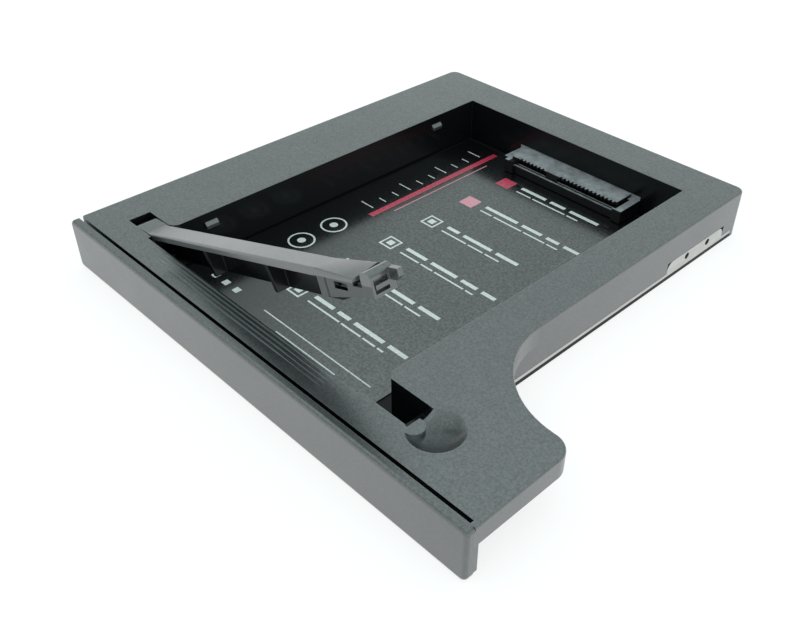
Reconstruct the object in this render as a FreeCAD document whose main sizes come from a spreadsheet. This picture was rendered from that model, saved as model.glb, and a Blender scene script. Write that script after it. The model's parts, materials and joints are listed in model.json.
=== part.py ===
"""Laptop drive caddy: a moulded frame with a hinged lock bar, a clipped bezel and a steel floor."""
import FreeCAD, Part
import math
import os

import Sketcher
from FreeCAD import Vector

doc = FreeCAD.newDocument("drive_caddy")
sheet = doc.addObject("Spreadsheet::Sheet", "Sizes")


class Size:
    """A length that knows both its value and the formula that gives it."""

    def __init__(self, value, text):
        self.value = float(value)
        self.text = text

    def __add__(self, other):
        other = as_size(other)
        return Size(self.value + other.value, "(%s + %s)" % (self.text, other.text))

    def __sub__(self, other):
        other = as_size(other)
        return Size(self.value - other.value, "(%s - %s)" % (self.text, other.text))

    def __mul__(self, other):
        other = as_size(other)
        return Size(self.value * other.value, "(%s * %s)" % (self.text, other.text))

    def __truediv__(self, other):
        other = as_size(other)
        return Size(self.value / other.value, "(%s / %s)" % (self.text, other.text))

    def __neg__(self):
        return Size(-self.value, "(0 - %s)" % self.text)


def as_size(number):
    """Hands a plain number back as a length."""
    if isinstance(number, Size):
        return number
    return Size(number, repr(float(number)))


rows = []


def size(name, value):
    """Writes one named size on the sheet and hands it back for use in formulas."""
    rows.append(name)
    sheet.set("A%d" % len(rows), name.replace("_", " "))
    sheet.set("B%d" % len(rows), str(value))
    sheet.setAlias("B%d" % len(rows), name)
    return Size(value, "Sizes." + name)


# Frame outline, from the body's left face, front face and underside.
body_width = size("body_width", 101.8)
body_depth = size("body_depth", 126.0)
body_height = size("body_height", 12.7)
rear_corner_radius = size("rear_corner_radius", 2.4)
front_corner_cut = size("front_corner_cut", 0.8)
wing_depth = size("wing_depth", 24.6)
wing_thickness = size("wing_thickness", 4.7)
wing_corner_radius = size("wing_corner_radius", 4.4)
wing_straight = size("wing_straight", 0.4)
top_edge_radius = size("top_edge_radius", 0.5)

# Moulded walls.
outer_wall = size("outer_wall", 2.0)
rail_wall = size("rail_wall", 2.0)
hinge_wall = size("hinge_wall", 2.4)
ledge_wall = size("ledge_wall", 1.6)
top_wall = size("top_wall", 2.0)
wing_skin = size("wing_skin", 2.0)
wing_skirt = size("wing_skirt", 1.6)
wing_land = size("wing_land", 9.4)

# Drive bay.
left_rail = size("left_rail", 19.1)
right_rail = size("right_rail", 10.7)
ledge_depth = size("ledge_depth", 6.2)
rear_rail = size("rear_rail", 12.1)
nub_length = size("nub_length", 3.4)
nub_height = size("nub_height", 1.6)
nub_proud = size("nub_proud", 0.8)
nub_level = size("nub_level", 8.8)
nub_from_front = size("nub_from_front", 22.8)
nub_from_rear = size("nub_from_rear", 15.1)

# Hinge pocket, latch notch and finger scoop.
pocket_front = size("pocket_front", 7.0)
pocket_width = size("pocket_width", 5.6)
pocket_length = size("pocket_length", 9.6)
pocket_floor = size("pocket_floor", 5.5)
pocket_corner_radius = size("pocket_corner_radius", 2.3)
notch_length = size("notch_length", 12.7)
notch_width = size("notch_width", 6.5)
notch_end_wall = size("notch_end_wall", 1.0)
notch_corner_cut = size("notch_corner_cut", 1.5)
tip_recess_depth = size("tip_recess_depth", 3.4)
scoop_radius = size("scoop_radius", 5.7)
scoop_depth = size("scoop_depth", 2.6)
scoop_past_notch = size("scoop_past_notch", 4.2)
scoop_past_ledge = size("scoop_past_ledge", 3.0)
catch_radius = size("catch_radius", 2.2)
catch_past_notch = size("catch_past_notch", 0.7)
catch_past_ledge = size("catch_past_ledge", 0.9)
catch_below_top = size("catch_below_top", 0.2)

# Grip ridges on the front ledge.
ridge_count = 4
ridge_from_front = size("ridge_from_front", 2.6)
ridge_pitch = size("ridge_pitch", 1.0)
ridge_width = size("ridge_width", 0.45)
ridge_height = size("ridge_height", 0.3)
ridge_from_left = size("ridge_from_left", 30.0)
ridge_from_right = size("ridge_from_right", 13.1)
ridge_fade = size("ridge_fade", 7.0)

# Steel floor with its turned-up lips and side tab.
plate_thickness = size("plate_thickness", 0.8)
lip_thickness = size("lip_thickness", 0.6)
lip_height = size("lip_height", 2.3)
lip_inset = size("lip_inset", 3.4)
lip_gap = size("lip_gap", 0.1)
bend_radius = size("bend_radius", 0.5)
tab_height = size("tab_height", 5.2)
tab_length = size("tab_length", 24.4)
tab_from_rear = size("tab_from_rear", 7.7)
tab_corner_radius = size("tab_corner_radius", 2.2)
tab_hole_radius = size("tab_hole_radius", 0.85)
tab_hole_level = size("tab_hole_level", 3.8)
tab_hole_from_rear = size("tab_hole_from_rear", 14.8)
tab_hole_spacing = size("tab_hole_spacing", 9.0)
tab_hole_relief = size("tab_hole_relief", 0.5)

# Printed label on the floor.
label_thickness = size("label_thickness", 0.25)
label_from_left = size("label_from_left", 0.9)
label_from_right = size("label_from_right", 5.1)
label_from_ledge = size("label_from_ledge", 1.2)
label_from_rear = size("label_from_rear", 1.5)
label_corner_radius = size("label_corner_radius", 1.5)

# Bezel.
bezel_width = size("bezel_width", 128.0)
bezel_height = size("bezel_height", 12.8)
bezel_thickness = size("bezel_thickness", 2.0)
bezel_overhang = size("bezel_overhang", 0.1)
bezel_groove = size("bezel_groove", 0.9)
bezel_corner_radius = size("bezel_corner_radius", 1.2)
bezel_edge_radius = size("bezel_edge_radius", 0.9)
bezel_land = size("bezel_land", 1.3)
clip_count = 3
clip_from_left = size("clip_from_left", 24.0)
clip_from_right = size("clip_from_right", 5.8)
clip_width = size("clip_width", 6.0)
clip_thickness = size("clip_thickness", 1.2)
clip_level = size("clip_level", 5.6)
clip_nib = size("clip_nib", 0.7)
clip_nib_length = size("clip_nib_length", 1.1)
clip_gap = size("clip_gap", 0.15)
clip_flex = size("clip_flex", 0.9)
seat_width = size("seat_width", 4.0)
seat_height = size("seat_height", 4.0)
seat_level = size("seat_level", 2.6)
seat_before_clip = size("seat_before_clip", 15.0)

# Lock bar, modelled closed with the pivot at its own origin.
bar_lift_angle = size("bar_lift_angle", 19.0)
pivot_inset = size("pivot_inset", 5.8)
pivot_height = size("pivot_height", 9.6)
barrel_radius = size("barrel_radius", 2.85)
trunnion_radius = size("trunnion_radius", 1.3)
trunnion_length = size("trunnion_length", 1.4)
trunnion_fit = size("trunnion_fit", 0.05)
trunnion_end_gap = size("trunnion_end_gap", 0.3)
bar_gap = size("bar_gap", 0.2)
bar_recess = size("bar_recess", 1.45)
bar_depth = size("bar_depth", 8.0)
bar_skin = size("bar_skin", 1.2)
bar_lip = size("bar_lip", 1.5)
bar_lip_thickness = size("bar_lip_thickness", 0.9)
bar_edge_radius = size("bar_edge_radius", 0.5)
fold_reach = size("fold_reach", 4.8)
neck_depth = size("neck_depth", 3.6)
neck_past_fold = size("neck_past_fold", 2.0)
wall_gap = size("wall_gap", 0.3)
rib_thickness = size("rib_thickness", 1.0)
rib_foot_inset = size("rib_foot_inset", 1.2)
rib_near = size("rib_near", 28.6)
rib_middle = size("rib_middle", 52.6)
rib_before_cheek = size("rib_before_cheek", 1.4)
lip_past_cheek = size("lip_past_cheek", 1.0)
tip_gap = size("tip_gap", 1.3)
tip_length = size("tip_length", 2.5)
tip_height = size("tip_height", 2.2)
tip_above_top = size("tip_above_top", 0.6)
tip_thickness = size("tip_thickness", 1.1)
latch_length = size("latch_length", 2.6)
latch_rise = size("latch_rise", 1.1)
latch_drop = size("latch_drop", 3.6)
latch_round = size("latch_round", 1.2)
latch_slot = size("latch_slot", 2.7)
latch_slot_floor = size("latch_slot_floor", 1.9)
flange_skew = size("flange_skew", 2.3)
flange_twist_length = size("flange_twist_length", 13.0)
flange_twist_drop = size("flange_twist_drop", 0.9)
flange_twist_rise = size("flange_twist_rise", 1.0)
cheek_length = size("cheek_length", 13.1)
cheek_depth = size("cheek_depth", 5.4)
cheek_thickness = size("cheek_thickness", 1.0)
cheek_window_start = size("cheek_window_start", 4.9)
cheek_window_length = size("cheek_window_length", 3.8)
cheek_window_top = size("cheek_window_top", 1.7)
cheek_window_height = size("cheek_window_height", 1.4)
latch_face_margin = size("latch_face_margin", 0.6)
latch_face_top = size("latch_face_top", 0.4)
latch_face_height = size("latch_face_height", 2.6)
latch_face_depth = size("latch_face_depth", 1.0)
latch_tongue_length = size("latch_tongue_length", 3.2)
latch_tongue_top = size("latch_tongue_top", 1.5)
latch_tongue_thickness = size("latch_tongue_thickness", 0.8)

# Board and connectors in the rear rail.
board_thickness = size("board_thickness", 1.0)
board_level = size("board_level", 2.6)
board_depth = size("board_depth", 7.4)
board_from_left = size("board_from_left", 28.5)
board_from_right = size("board_from_right", 3.3)
board_gap = size("board_gap", 0.3)
contact_pitch = size("contact_pitch", 1.27)
segment_gap = size("segment_gap", 6.35)
contact_inset = size("contact_inset", 6.1)
receptacle_width = size("receptacle_width", 41.0)
receptacle_height = size("receptacle_height", 4.5)
receptacle_reach = size("receptacle_reach", 6.9)
receptacle_offset = size("receptacle_offset", 4.0)
receptacle_above_floor = size("receptacle_above_floor", 0.25)
receptacle_shelf = size("receptacle_shelf", 0.7)
receptacle_foot = size("receptacle_foot", 2.6)
mouth_height = size("mouth_height", 1.3)
mouth_depth = size("mouth_depth", 5.2)
mouth_margin = size("mouth_margin", 1.2)
sill_reach = size("sill_reach", 0.6)
ear_width = size("ear_width", 2.8)
left_ear_inset = size("left_ear_inset", 1.4)
ear_reach = size("ear_reach", 1.5)
ear_below_top = size("ear_below_top", 0.9)
tooth_width = size("tooth_width", 0.7)
tooth_depth = size("tooth_depth", 0.6)
contact_width = size("contact_width", 0.5)
contact_thickness = size("contact_thickness", 0.3)
contact_setback = size("contact_setback", 0.4)
window_gap = size("window_gap", 0.15)
plug_width = size("plug_width", 21.4)
plug_height = size("plug_height", 4.2)
plug_depth = size("plug_depth", 6.6)
plug_from_right = size("plug_from_right", 11.4)
plug_wall = size("plug_wall", 0.8)
plug_mouth_depth = size("plug_mouth_depth", 5.0)
tongue_thickness = size("tongue_thickness", 1.0)
tongue_setback = size("tongue_setback", 0.6)
tongue_margin = size("tongue_margin", 0.5)
tongue_split = size("tongue_split", 2.2)
power_pitch = size("power_pitch", 1.0)
strip_width = size("strip_width", 0.6)
strip_thickness = size("strip_thickness", 0.2)

# Screws and the bosses they run into.
boss_radius = size("boss_radius", 2.6)
screw_radius = size("screw_radius", 0.85)
screw_fit = size("screw_fit", 0.05)
screw_length = size("screw_length", 5.0)
pilot_extra = size("pilot_extra", 1.0)
head_radius = size("head_radius", 1.65)
head_height = size("head_height", 0.6)
hole_clearance = size("hole_clearance", 0.2)
recess_span = size("recess_span", 1.9)
recess_width = size("recess_width", 0.45)
recess_depth = size("recess_depth", 0.4)
left_screw_front = size("left_screw_front", 24.0)
left_screw_rear = size("left_screw_rear", 10.0)
right_screw_front = size("right_screw_front", 32.0)
right_screw_rear = size("right_screw_rear", 40.0)
board_head_radius = size("board_head_radius", 1.6)
board_head_height = size("board_head_height", 1.1)
board_screw_inset = size("board_screw_inset", 3.0)

# Places that follow from the sizes above.
wing_width = bezel_width - bezel_overhang - body_width
bay_width = body_width - left_rail - right_rail
bay_right = left_rail + bay_width
bay_rear = body_depth - rear_rail
nub_spacing = bay_rear - nub_from_rear - nub_from_front
label_width = bay_width - label_from_left - label_from_right
label_depth = bay_rear - ledge_depth - label_from_ledge - label_from_rear
pocket_left = left_rail - pocket_length
pocket_rear = pocket_front + pocket_width
notch_end = bay_right + notch_length
notch_rear = pocket_front + notch_width
notch_deep_end = body_width - notch_end_wall
wing_edge = body_width + wing_width
wing_underside = body_height - wing_thickness
root_radius = wing_width - wing_corner_radius - wing_straight
pivot_x = left_rail - pivot_inset
floor_top = plate_thickness + label_thickness
centre_x = bezel_width / 2 - bezel_overhang
centre_y = (body_depth - bezel_groove - bezel_thickness) / 2
clip_spacing = (body_width - clip_from_left - clip_width - clip_from_right) / (clip_count - 1)
ridge_length = bay_right - ridge_from_right - ridge_from_left
board_width = body_width - board_from_left - board_from_right
plug_from_left = body_width - plug_from_right - plug_width
left_screw_pitch = (body_depth - left_screw_front - left_screw_rear) / 2
right_screw_pitch = body_depth - right_screw_front - right_screw_rear
left_boss_x = left_rail / 2
right_boss_x = (bay_right + body_width) / 2
board_front = bay_rear + rail_wall + board_gap
board_top = board_level + board_thickness
board_screw_y = board_front + board_depth / 2


def bind(thing, prop, formula):
    """Ties one property to its formula."""
    thing.setExpression(prop, as_size(formula).text)


def finish(thing, label):
    """Names a finished piece and moves it so the caddy stands centred on the origin."""
    thing.Label = label
    bind(thing, "Placement.Base.x", -centre_x)
    bind(thing, "Placement.Base.y", -centre_y)
    return thing


def new_body(name):
    """Starts a body."""
    return doc.addObject("PartDesign::Body", name)


def sketch_on(body, role, name, offset=0):
    """Starts a sketch on one of the body's own planes, moved along that plane's normal."""
    plane = [f for f in body.Origin.OriginFeatures if f.Role == role][0]
    sketch = body.newObject("Sketcher::SketchObject", name)
    sketch.AttachmentSupport = [(plane, "")]
    sketch.MapMode = "FlatFace"
    bind(sketch, "AttachmentOffset.Base.z", offset)
    return sketch


def pin(sketch, geometry, point, x, y):
    """Holds a sketch point at a place given by two formulas."""
    for kind, place in (("DistanceX", x), ("DistanceY", y)):
        place = as_size(place)
        rule = Sketcher.Constraint(kind, -1, 1, geometry, point, place.value)
        number = sketch.addConstraint(rule)
        sketch.setExpression("Constraints[%d]" % number, place.text)


def hold_radius(sketch, geometry, radius):
    """Holds the radius of a circle or an arc."""
    number = sketch.addConstraint(Sketcher.Constraint("Radius", geometry, radius.value))
    sketch.setExpression("Constraints[%d]" % number, radius.text)


def outline(sketch, corners):
    """Draws a closed outline; a corner with a radius and a turn starts an arc, left +1 or right -1."""
    corners = [(as_size(c[0]), as_size(c[1])) + tuple(c[2:]) for c in corners]
    first = sketch.GeometryCount
    ends = []
    for i, corner in enumerate(corners):
        after = corners[(i + 1) % len(corners)]
        a = Vector(corner[0].value, corner[1].value, 0)
        b = Vector(after[0].value, after[1].value, 0)
        if len(corner) == 2:
            sketch.addGeometry(Part.LineSegment(a, b), False)
            ends.append((1, 2))
            continue
        radius, turn = corner[2:]
        chord = b - a
        side = Vector(-chord.y, chord.x, 0).normalize() * turn
        rise = math.sqrt(max(radius.value ** 2 - chord.Length ** 2 / 4, 0))
        centre = a + chord * 0.5 + side * rise
        from_a = math.atan2(a.y - centre.y, a.x - centre.x)
        from_b = math.atan2(b.y - centre.y, b.x - centre.x)
        circle = Part.Circle(centre, Vector(0, 0, 1), radius.value)
        if turn > 0:
            sketch.addGeometry(Part.ArcOfCircle(circle, from_a, from_b), False)
            ends.append((1, 2))
        else:
            sketch.addGeometry(Part.ArcOfCircle(circle, from_b, from_a), False)
            ends.append((2, 1))
    for i, corner in enumerate(corners):
        here = first + i
        before = first + (i - 1) % len(corners)
        sketch.addConstraint(Sketcher.Constraint("Coincident", before, ends[i - 1][1], here, ends[i][0]))
        pin(sketch, here, ends[i][0], corner[0], corner[1])
        if len(corner) > 2:
            hold_radius(sketch, here, corner[2])


def box_outline(sketch, x0, x1, y0, y1):
    """Draws a rectangle."""
    outline(sketch, [(x0, y0), (x1, y0), (x1, y1), (x0, y1)])


def rounded_outline(sketch, x0, x1, y0, y1, radius):
    """Draws a rectangle with four round corners."""
    x0, x1, y0, y1 = [as_size(v) for v in (x0, x1, y0, y1)]
    outline(sketch, [
        (x0 + radius, y0), (x1 - radius, y0, radius, 1),
        (x1, y0 + radius), (x1, y1 - radius, radius, 1),
        (x1 - radius, y1), (x0 + radius, y1, radius, 1),
        (x0, y1 - radius), (x0, y0 + radius, radius, 1)])


def ring(sketch, x, y, radius):
    """Draws a circle."""
    x, y, radius = [as_size(v) for v in (x, y, radius)]
    circle = Part.Circle(Vector(x.value, y.value, 0), Vector(0, 0, 1), radius.value)
    number = sketch.addGeometry(circle, False)
    pin(sketch, number, 3, x, y)
    hold_radius(sketch, number, radius)


def pad(body, name, sketch, length, reverse=False):
    """Adds material along the sketch's normal, or against it."""
    feature = body.newObject("PartDesign::Pad", name)
    feature.Profile = sketch
    feature.Reversed = reverse
    bind(feature, "Length", length)
    sketch.Visibility = False
    return feature


def pocket(body, name, sketch, length, reverse=False):
    """Cuts against the sketch's normal, or along it."""
    feature = body.newObject("PartDesign::Pocket", name)
    feature.Profile = sketch
    feature.Reversed = reverse
    bind(feature, "Length", length)
    sketch.Visibility = False
    return feature


def edges_of(feature, test):
    """Names the edges of a feature whose middle point passes a test."""
    names = []
    for i, edge in enumerate(feature.Shape.Edges):
        middle = edge.valueAt((edge.FirstParameter + edge.LastParameter) / 2)
        if test(edge, middle):
            names.append("Edge%d" % (i + 1))
    return names


def round_edges(body, name, base, test, radius, kind="Fillet"):
    """Rounds or bevels the edges of the last feature that pass a test."""
    doc.recompute()
    feature = body.newObject("PartDesign::" + kind, name)
    feature.Base = (base, edges_of(base, test))
    bind(feature, "Radius" if kind == "Fillet" else "Size", radius)
    return feature


def near(a, b):
    """Tells whether two lengths agree."""
    return abs(a - b) < 1e-3


def box(name, x0, x1, y0, y1, z0, z1):
    """Makes a plain block between two corners."""
    x0, x1, y0, y1, z0, z1 = [as_size(v) for v in (x0, x1, y0, y1, z0, z1)]
    thing = doc.addObject("Part::Box", name)
    bind(thing, "Length", x1 - x0)
    bind(thing, "Width", y1 - y0)
    bind(thing, "Height", z1 - z0)
    bind(thing, "Placement.Base.x", x0)
    bind(thing, "Placement.Base.y", y0)
    bind(thing, "Placement.Base.z", z0)
    return thing


def rod(name, x, y, z, radius, height):
    """Makes an upright cylinder."""
    thing = doc.addObject("Part::Cylinder", name)
    bind(thing, "Radius", radius)
    bind(thing, "Height", height)
    bind(thing, "Placement.Base.x", x)
    bind(thing, "Placement.Base.y", y)
    bind(thing, "Placement.Base.z", z)
    return thing


def cone(name, x, y, z, lower, upper, height):
    """Makes an upright cone frustum."""
    thing = doc.addObject("Part::Cone", name)
    bind(thing, "Radius1", lower)
    bind(thing, "Radius2", upper)
    bind(thing, "Height", height)
    bind(thing, "Placement.Base.x", x)
    bind(thing, "Placement.Base.y", y)
    bind(thing, "Placement.Base.z", z)
    return thing


def fuse(name, things):
    """Joins shapes into one."""
    thing = doc.addObject("Part::MultiFuse", name)
    thing.Shapes = things
    thing.Refine = True
    return thing


def cut(name, base, tool):
    """Takes one shape out of another."""
    thing = doc.addObject("Part::Cut", name)
    thing.Base = base
    thing.Tool = tool
    thing.Refine = True
    return thing


def group(name, things):
    """Keeps separate solids together as one piece."""
    thing = doc.addObject("Part::Compound", name)
    thing.Links = things
    return thing


# The places of the screws that hold the floor and the board.
base_screw_places = []
for i in range(3):
    base_screw_places.append((left_boss_x, left_screw_front + left_screw_pitch * i))
for i in range(2):
    base_screw_places.append((right_boss_x, right_screw_front + right_screw_pitch * i))
board_screw_places = [
    (board_from_left + board_screw_inset, board_screw_y),
    (board_from_left + board_width - board_screw_inset, board_screw_y)]


def make_frame():
    """The moulded tray: rails around the bay, hinge pocket, latch notch and the wing."""
    body = new_body("frame")
    sk = sketch_on(body, "XY_Plane", "frame_outline", plate_thickness)
    rc, fc = rear_corner_radius, front_corner_cut
    outline(sk, [
        (fc, 0), (body_width, 0), (body_width, body_depth - rc, rc, 1),
        (body_width - rc, body_depth), (rc, body_depth, rc, 1), (0, body_depth - rc), (0, fc)])
    pad(body, "tray_block", sk, body_height - plate_thickness)

    sk = sketch_on(body, "XY_Plane", "wing_outline", wing_underside)
    wc = wing_corner_radius
    outline(sk, [
        (body_width - outer_wall, 0), (wing_edge, 0), (wing_edge, wing_depth - wc, wc, 1),
        (wing_edge - wc, wing_depth), (body_width + root_radius, wing_depth, root_radius, -1),
        (body_width, wing_depth + root_radius), (body_width - outer_wall, wing_depth + root_radius)])
    pad(body, "wing", sk, wing_thickness)

    # Hollows moulded up into the rails from below.
    sk = sketch_on(body, "XY_Plane", "rail_hollow_outline", plate_thickness)
    outline(sk, [
        (outer_wall, outer_wall), (pocket_left - rail_wall, outer_wall),
        (pocket_left - rail_wall, pocket_rear + hinge_wall),
        (left_rail - rail_wall, pocket_rear + hinge_wall),
        (left_rail - rail_wall, bay_rear + rail_wall), (bay_right + rail_wall, bay_rear + rail_wall),
        (bay_right + rail_wall, notch_rear + rail_wall),
        (body_width - outer_wall, notch_rear + rail_wall),
        (body_width - outer_wall, body_depth - outer_wall), (outer_wall, body_depth - outer_wall)])
    box_outline(sk, pocket_left, body_width - outer_wall, outer_wall, ledge_depth - ledge_wall)
    pocket(body, "rail_hollows", sk, body_height - plate_thickness - top_wall, True)

    sk = sketch_on(body, "XY_Plane", "wing_hollow_outline", wing_underside)
    inner = wc - wing_skirt
    outline(sk, [
        (notch_end + wing_land, wing_skirt), (wing_edge - wing_skirt, wing_skirt),
        (wing_edge - wing_skirt, wing_depth - wc, inner, 1),
        (wing_edge - wc, wing_depth - wing_skirt), (notch_end + wing_land, wing_depth - wing_skirt)])
    box_outline(sk, body_width + wing_skirt, notch_end + wing_land - wing_skirt,
                notch_rear + rail_wall, wing_depth - wing_skirt)
    pocket(body, "wing_hollows", sk, wing_thickness - wing_skin, True)

    # Bosses for the screws from below.
    sk = sketch_on(body, "XY_Plane", "base_boss_rings", plate_thickness)
    for x, y in base_screw_places:
        ring(sk, x, y, boss_radius)
    pad(body, "base_bosses", sk, body_height - plate_thickness - top_wall / 2)
    sk = sketch_on(body, "XY_Plane", "board_boss_rings", board_top)
    for x, y in board_screw_places:
        ring(sk, x, y, boss_radius)
    pad(body, "board_bosses", sk, body_height - board_top - top_wall / 2)
    sk = sketch_on(body, "XY_Plane", "base_pilot_rings", plate_thickness)
    for x, y in base_screw_places:
        ring(sk, x, y, screw_radius + screw_fit)
    pocket(body, "base_pilots", sk, screw_length + pilot_extra, True)
    sk = sketch_on(body, "XY_Plane", "board_pilot_rings", board_top)
    for x, y in board_screw_places:
        ring(sk, x, y, screw_radius + screw_fit)
    pocket(body, "board_pilots", sk, screw_length + pilot_extra, True)

    # The drive bay runs right through, down to the steel floor.
    sk = sketch_on(body, "XY_Plane", "bay_outline", body_height)
    box_outline(sk, left_rail, bay_right, ledge_depth, bay_rear)
    pocket(body, "drive_bay", sk, body_height)
    sk = sketch_on(body, "XY_Plane", "hinge_pocket_outline", body_height)
    pr = pocket_corner_radius
    outline(sk, [
        (pocket_left, pocket_front), (left_rail + rail_wall, pocket_front),
        (left_rail + rail_wall, pocket_rear + pr), (left_rail, pocket_rear + pr, pr, -1),
        (left_rail - pr, pocket_rear), (pocket_left, pocket_rear)])
    pocket(body, "hinge_pocket", sk, body_height - pocket_floor)

    # A dished finger scoop with the round catch post standing in it, then the notch that trims the post.
    scoop = body.newObject("PartDesign::SubtractiveSphere", "finger_scoop")
    ball = (scoop_radius * scoop_radius + scoop_depth * scoop_depth) / (scoop_depth * 2)
    bind(scoop, "Radius", ball)
    bind(scoop, "Placement.Base.x", notch_end + scoop_past_notch)
    bind(scoop, "Placement.Base.y", pocket_front + scoop_past_ledge)
    bind(scoop, "Placement.Base.z", body_height - scoop_depth + ball)
    sk = sketch_on(body, "XY_Plane", "catch_ring", wing_underside)
    ring(sk, notch_end + catch_past_notch, pocket_front + catch_past_ledge, catch_radius)
    pad(body, "catch_post", sk, wing_thickness - catch_below_top)
    sk = sketch_on(body, "XY_Plane", "notch_outline", body_height)
    nc = notch_corner_cut
    outline(sk, [
        (bay_right - rail_wall, pocket_front), (notch_deep_end, pocket_front), (notch_deep_end, notch_rear),
        (bay_right + nc, notch_rear), (bay_right, notch_rear + nc), (bay_right - rail_wall, notch_rear + nc)])
    pocket(body, "latch_notch", sk, body_height)
    sk = sketch_on(body, "XY_Plane", "tip_recess_outline", body_height)
    box_outline(sk, notch_deep_end - notch_end_wall, notch_end, pocket_front, notch_rear)
    pocket(body, "tip_recess", sk, tip_recess_depth)

    # Sockets for the lock bar's trunnions.
    socket_depth = trunnion_length + trunnion_end_gap - bar_gap
    sk = sketch_on(body, "XZ_Plane", "front_socket_ring", -pocket_front)
    ring(sk, pivot_x, pivot_height, trunnion_radius + trunnion_fit)
    pocket(body, "front_socket", sk, socket_depth, True)
    sk = sketch_on(body, "XZ_Plane", "rear_socket_ring", -pocket_rear)
    ring(sk, pivot_x, pivot_height, trunnion_radius + trunnion_fit)
    pocket(body, "rear_socket", sk, socket_depth)

    # Rebates for the steel lips and tab, with relief behind the tab's holes.
    lip_cut = lip_thickness + lip_gap
    sk = sketch_on(body, "YZ_Plane", "left_rebate_outline", 0)
    box_outline(sk, lip_inset - lip_gap, body_depth - lip_inset + lip_gap, 0, lip_height + lip_gap)
    pocket(body, "left_rebate", sk, lip_cut, True)
    sk = sketch_on(body, "YZ_Plane", "right_rebate_outline", body_width)
    box_outline(sk, lip_inset - lip_gap, body_depth - lip_inset + lip_gap, 0, lip_height + lip_gap)
    pocket(body, "right_rebate", sk, lip_cut)
    tab_rear = body_depth - tab_from_rear
    sk = sketch_on(body, "YZ_Plane", "tab_rebate_outline", body_width)
    box_outline(sk, tab_rear - tab_length - lip_gap, tab_rear + lip_gap, 0, tab_height + lip_gap)
    pocket(body, "tab_rebate", sk, lip_cut)
    sk = sketch_on(body, "YZ_Plane", "tab_relief_rings", body_width)
    for i in range(2):
        y = body_depth - tab_hole_from_rear - tab_hole_spacing * i
        ring(sk, y, tab_hole_level, tab_hole_radius + tab_hole_relief)
    pocket(body, "tab_relief", sk, outer_wall + lip_gap)

    # Windows for the two connectors.
    sk = sketch_on(body, "XZ_Plane", "receptacle_window_outline", -bay_rear)
    x0 = receptacle_x0 - window_gap
    box_outline(sk, x0, receptacle_x0 + receptacle_width + window_gap,
                0, floor_top + receptacle_above_floor + receptacle_height + window_gap)
    pocket(body, "receptacle_window", sk, rail_wall)
    sk = sketch_on(body, "XZ_Plane", "plug_window_outline", -body_depth)
    box_outline(sk, plug_from_left - window_gap, plug_from_left + plug_width + window_gap,
                board_top - window_gap, board_top + plug_height + window_gap)
    pocket(body, "plug_window", sk, outer_wall, True)

    # Windows for the bezel's clips and the land that meets the bezel at the wing's end.
    sk = sketch_on(body, "XZ_Plane", "clip_window_outline", 0)
    for i in range(clip_count):
        x = clip_from_left + clip_spacing * i
        box_outline(sk, x - clip_gap, x + clip_width + clip_gap,
                    clip_level - clip_flex, clip_level + clip_thickness + clip_gap)
    pocket(body, "clip_windows", sk, outer_wall)
    sk = sketch_on(body, "XZ_Plane", "bezel_land_outline", 0)
    box_outline(sk, wing_edge - bezel_land, wing_edge, wing_underside, body_height)
    pad(body, "bezel_land", sk, bezel_groove)

    # Retaining nubs on the bay's left wall, ramped on top so that a drive slides in over them.
    for i in range(2):
        y = nub_from_front + nub_spacing * i
        sk = sketch_on(body, "XZ_Plane", "nub_outline_%d" % (i + 1), -(y + nub_length / 2))
        outline(sk, [
            (left_rail, nub_level), (left_rail + nub_proud, nub_level),
            (left_rail + nub_proud, nub_level + nub_height - nub_proud),
            (left_rail, nub_level + nub_height)])
        last = pad(body, "nub_%d" % (i + 1), sk, nub_length)

    # Soft top edges along the left side, the rear, the right side and the wing.
    top, deep, wide = body_height.value, body_depth.value, body_width.value
    far = wing_edge.value
    inset = rear_corner_radius.value

    def on_rim(edge, p):
        if not near(p.z, top) or edge.Length < 0.2:
            return False
        if near(p.x, 0) or near(p.y, deep) or near(p.x, far):
            return True
        if near(p.x, wide) and p.y > wing_depth.value:
            return True
        if p.y > deep - inset and (p.x < inset or p.x > wide - inset):
            return True
        if near(p.y, wing_depth.value) and p.x > wide:
            return True
        curved = hasattr(edge.Curve, "Radius")
        return curved and p.x > wide and p.y > wing_depth.value - wing_corner_radius.value

    last = round_edges(body, "top_rim", last, on_rim, top_edge_radius)

    # Grip ridges that fade out at both ends.
    sk = sketch_on(body, "XZ_Plane", "ridge_outline", -ridge_from_front)
    x0, x1 = ridge_from_left, ridge_from_left + ridge_length
    root = body_height - ridge_height
    outline(sk, [
        (x0, root), (x1, root), (x1, body_height), (x1 - ridge_fade, body_height + ridge_height),
        (x0 + ridge_fade, body_height + ridge_height), (x0, body_height)])
    ridge = pad(body, "ridge", sk, ridge_width, True)
    rows_of = body.newObject("PartDesign::LinearPattern", "ridges")
    rows_of.Originals = [ridge]
    across = [f for f in body.Origin.OriginFeatures if f.Role == "Y_Axis"][0]
    rows_of.Direction = (across, [""])
    rows_of.Occurrences = ridge_count
    bind(rows_of, "Length", ridge_pitch * (ridge_count - 1))
    body.Tip = rows_of
    return finish(body, "frame")


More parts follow.
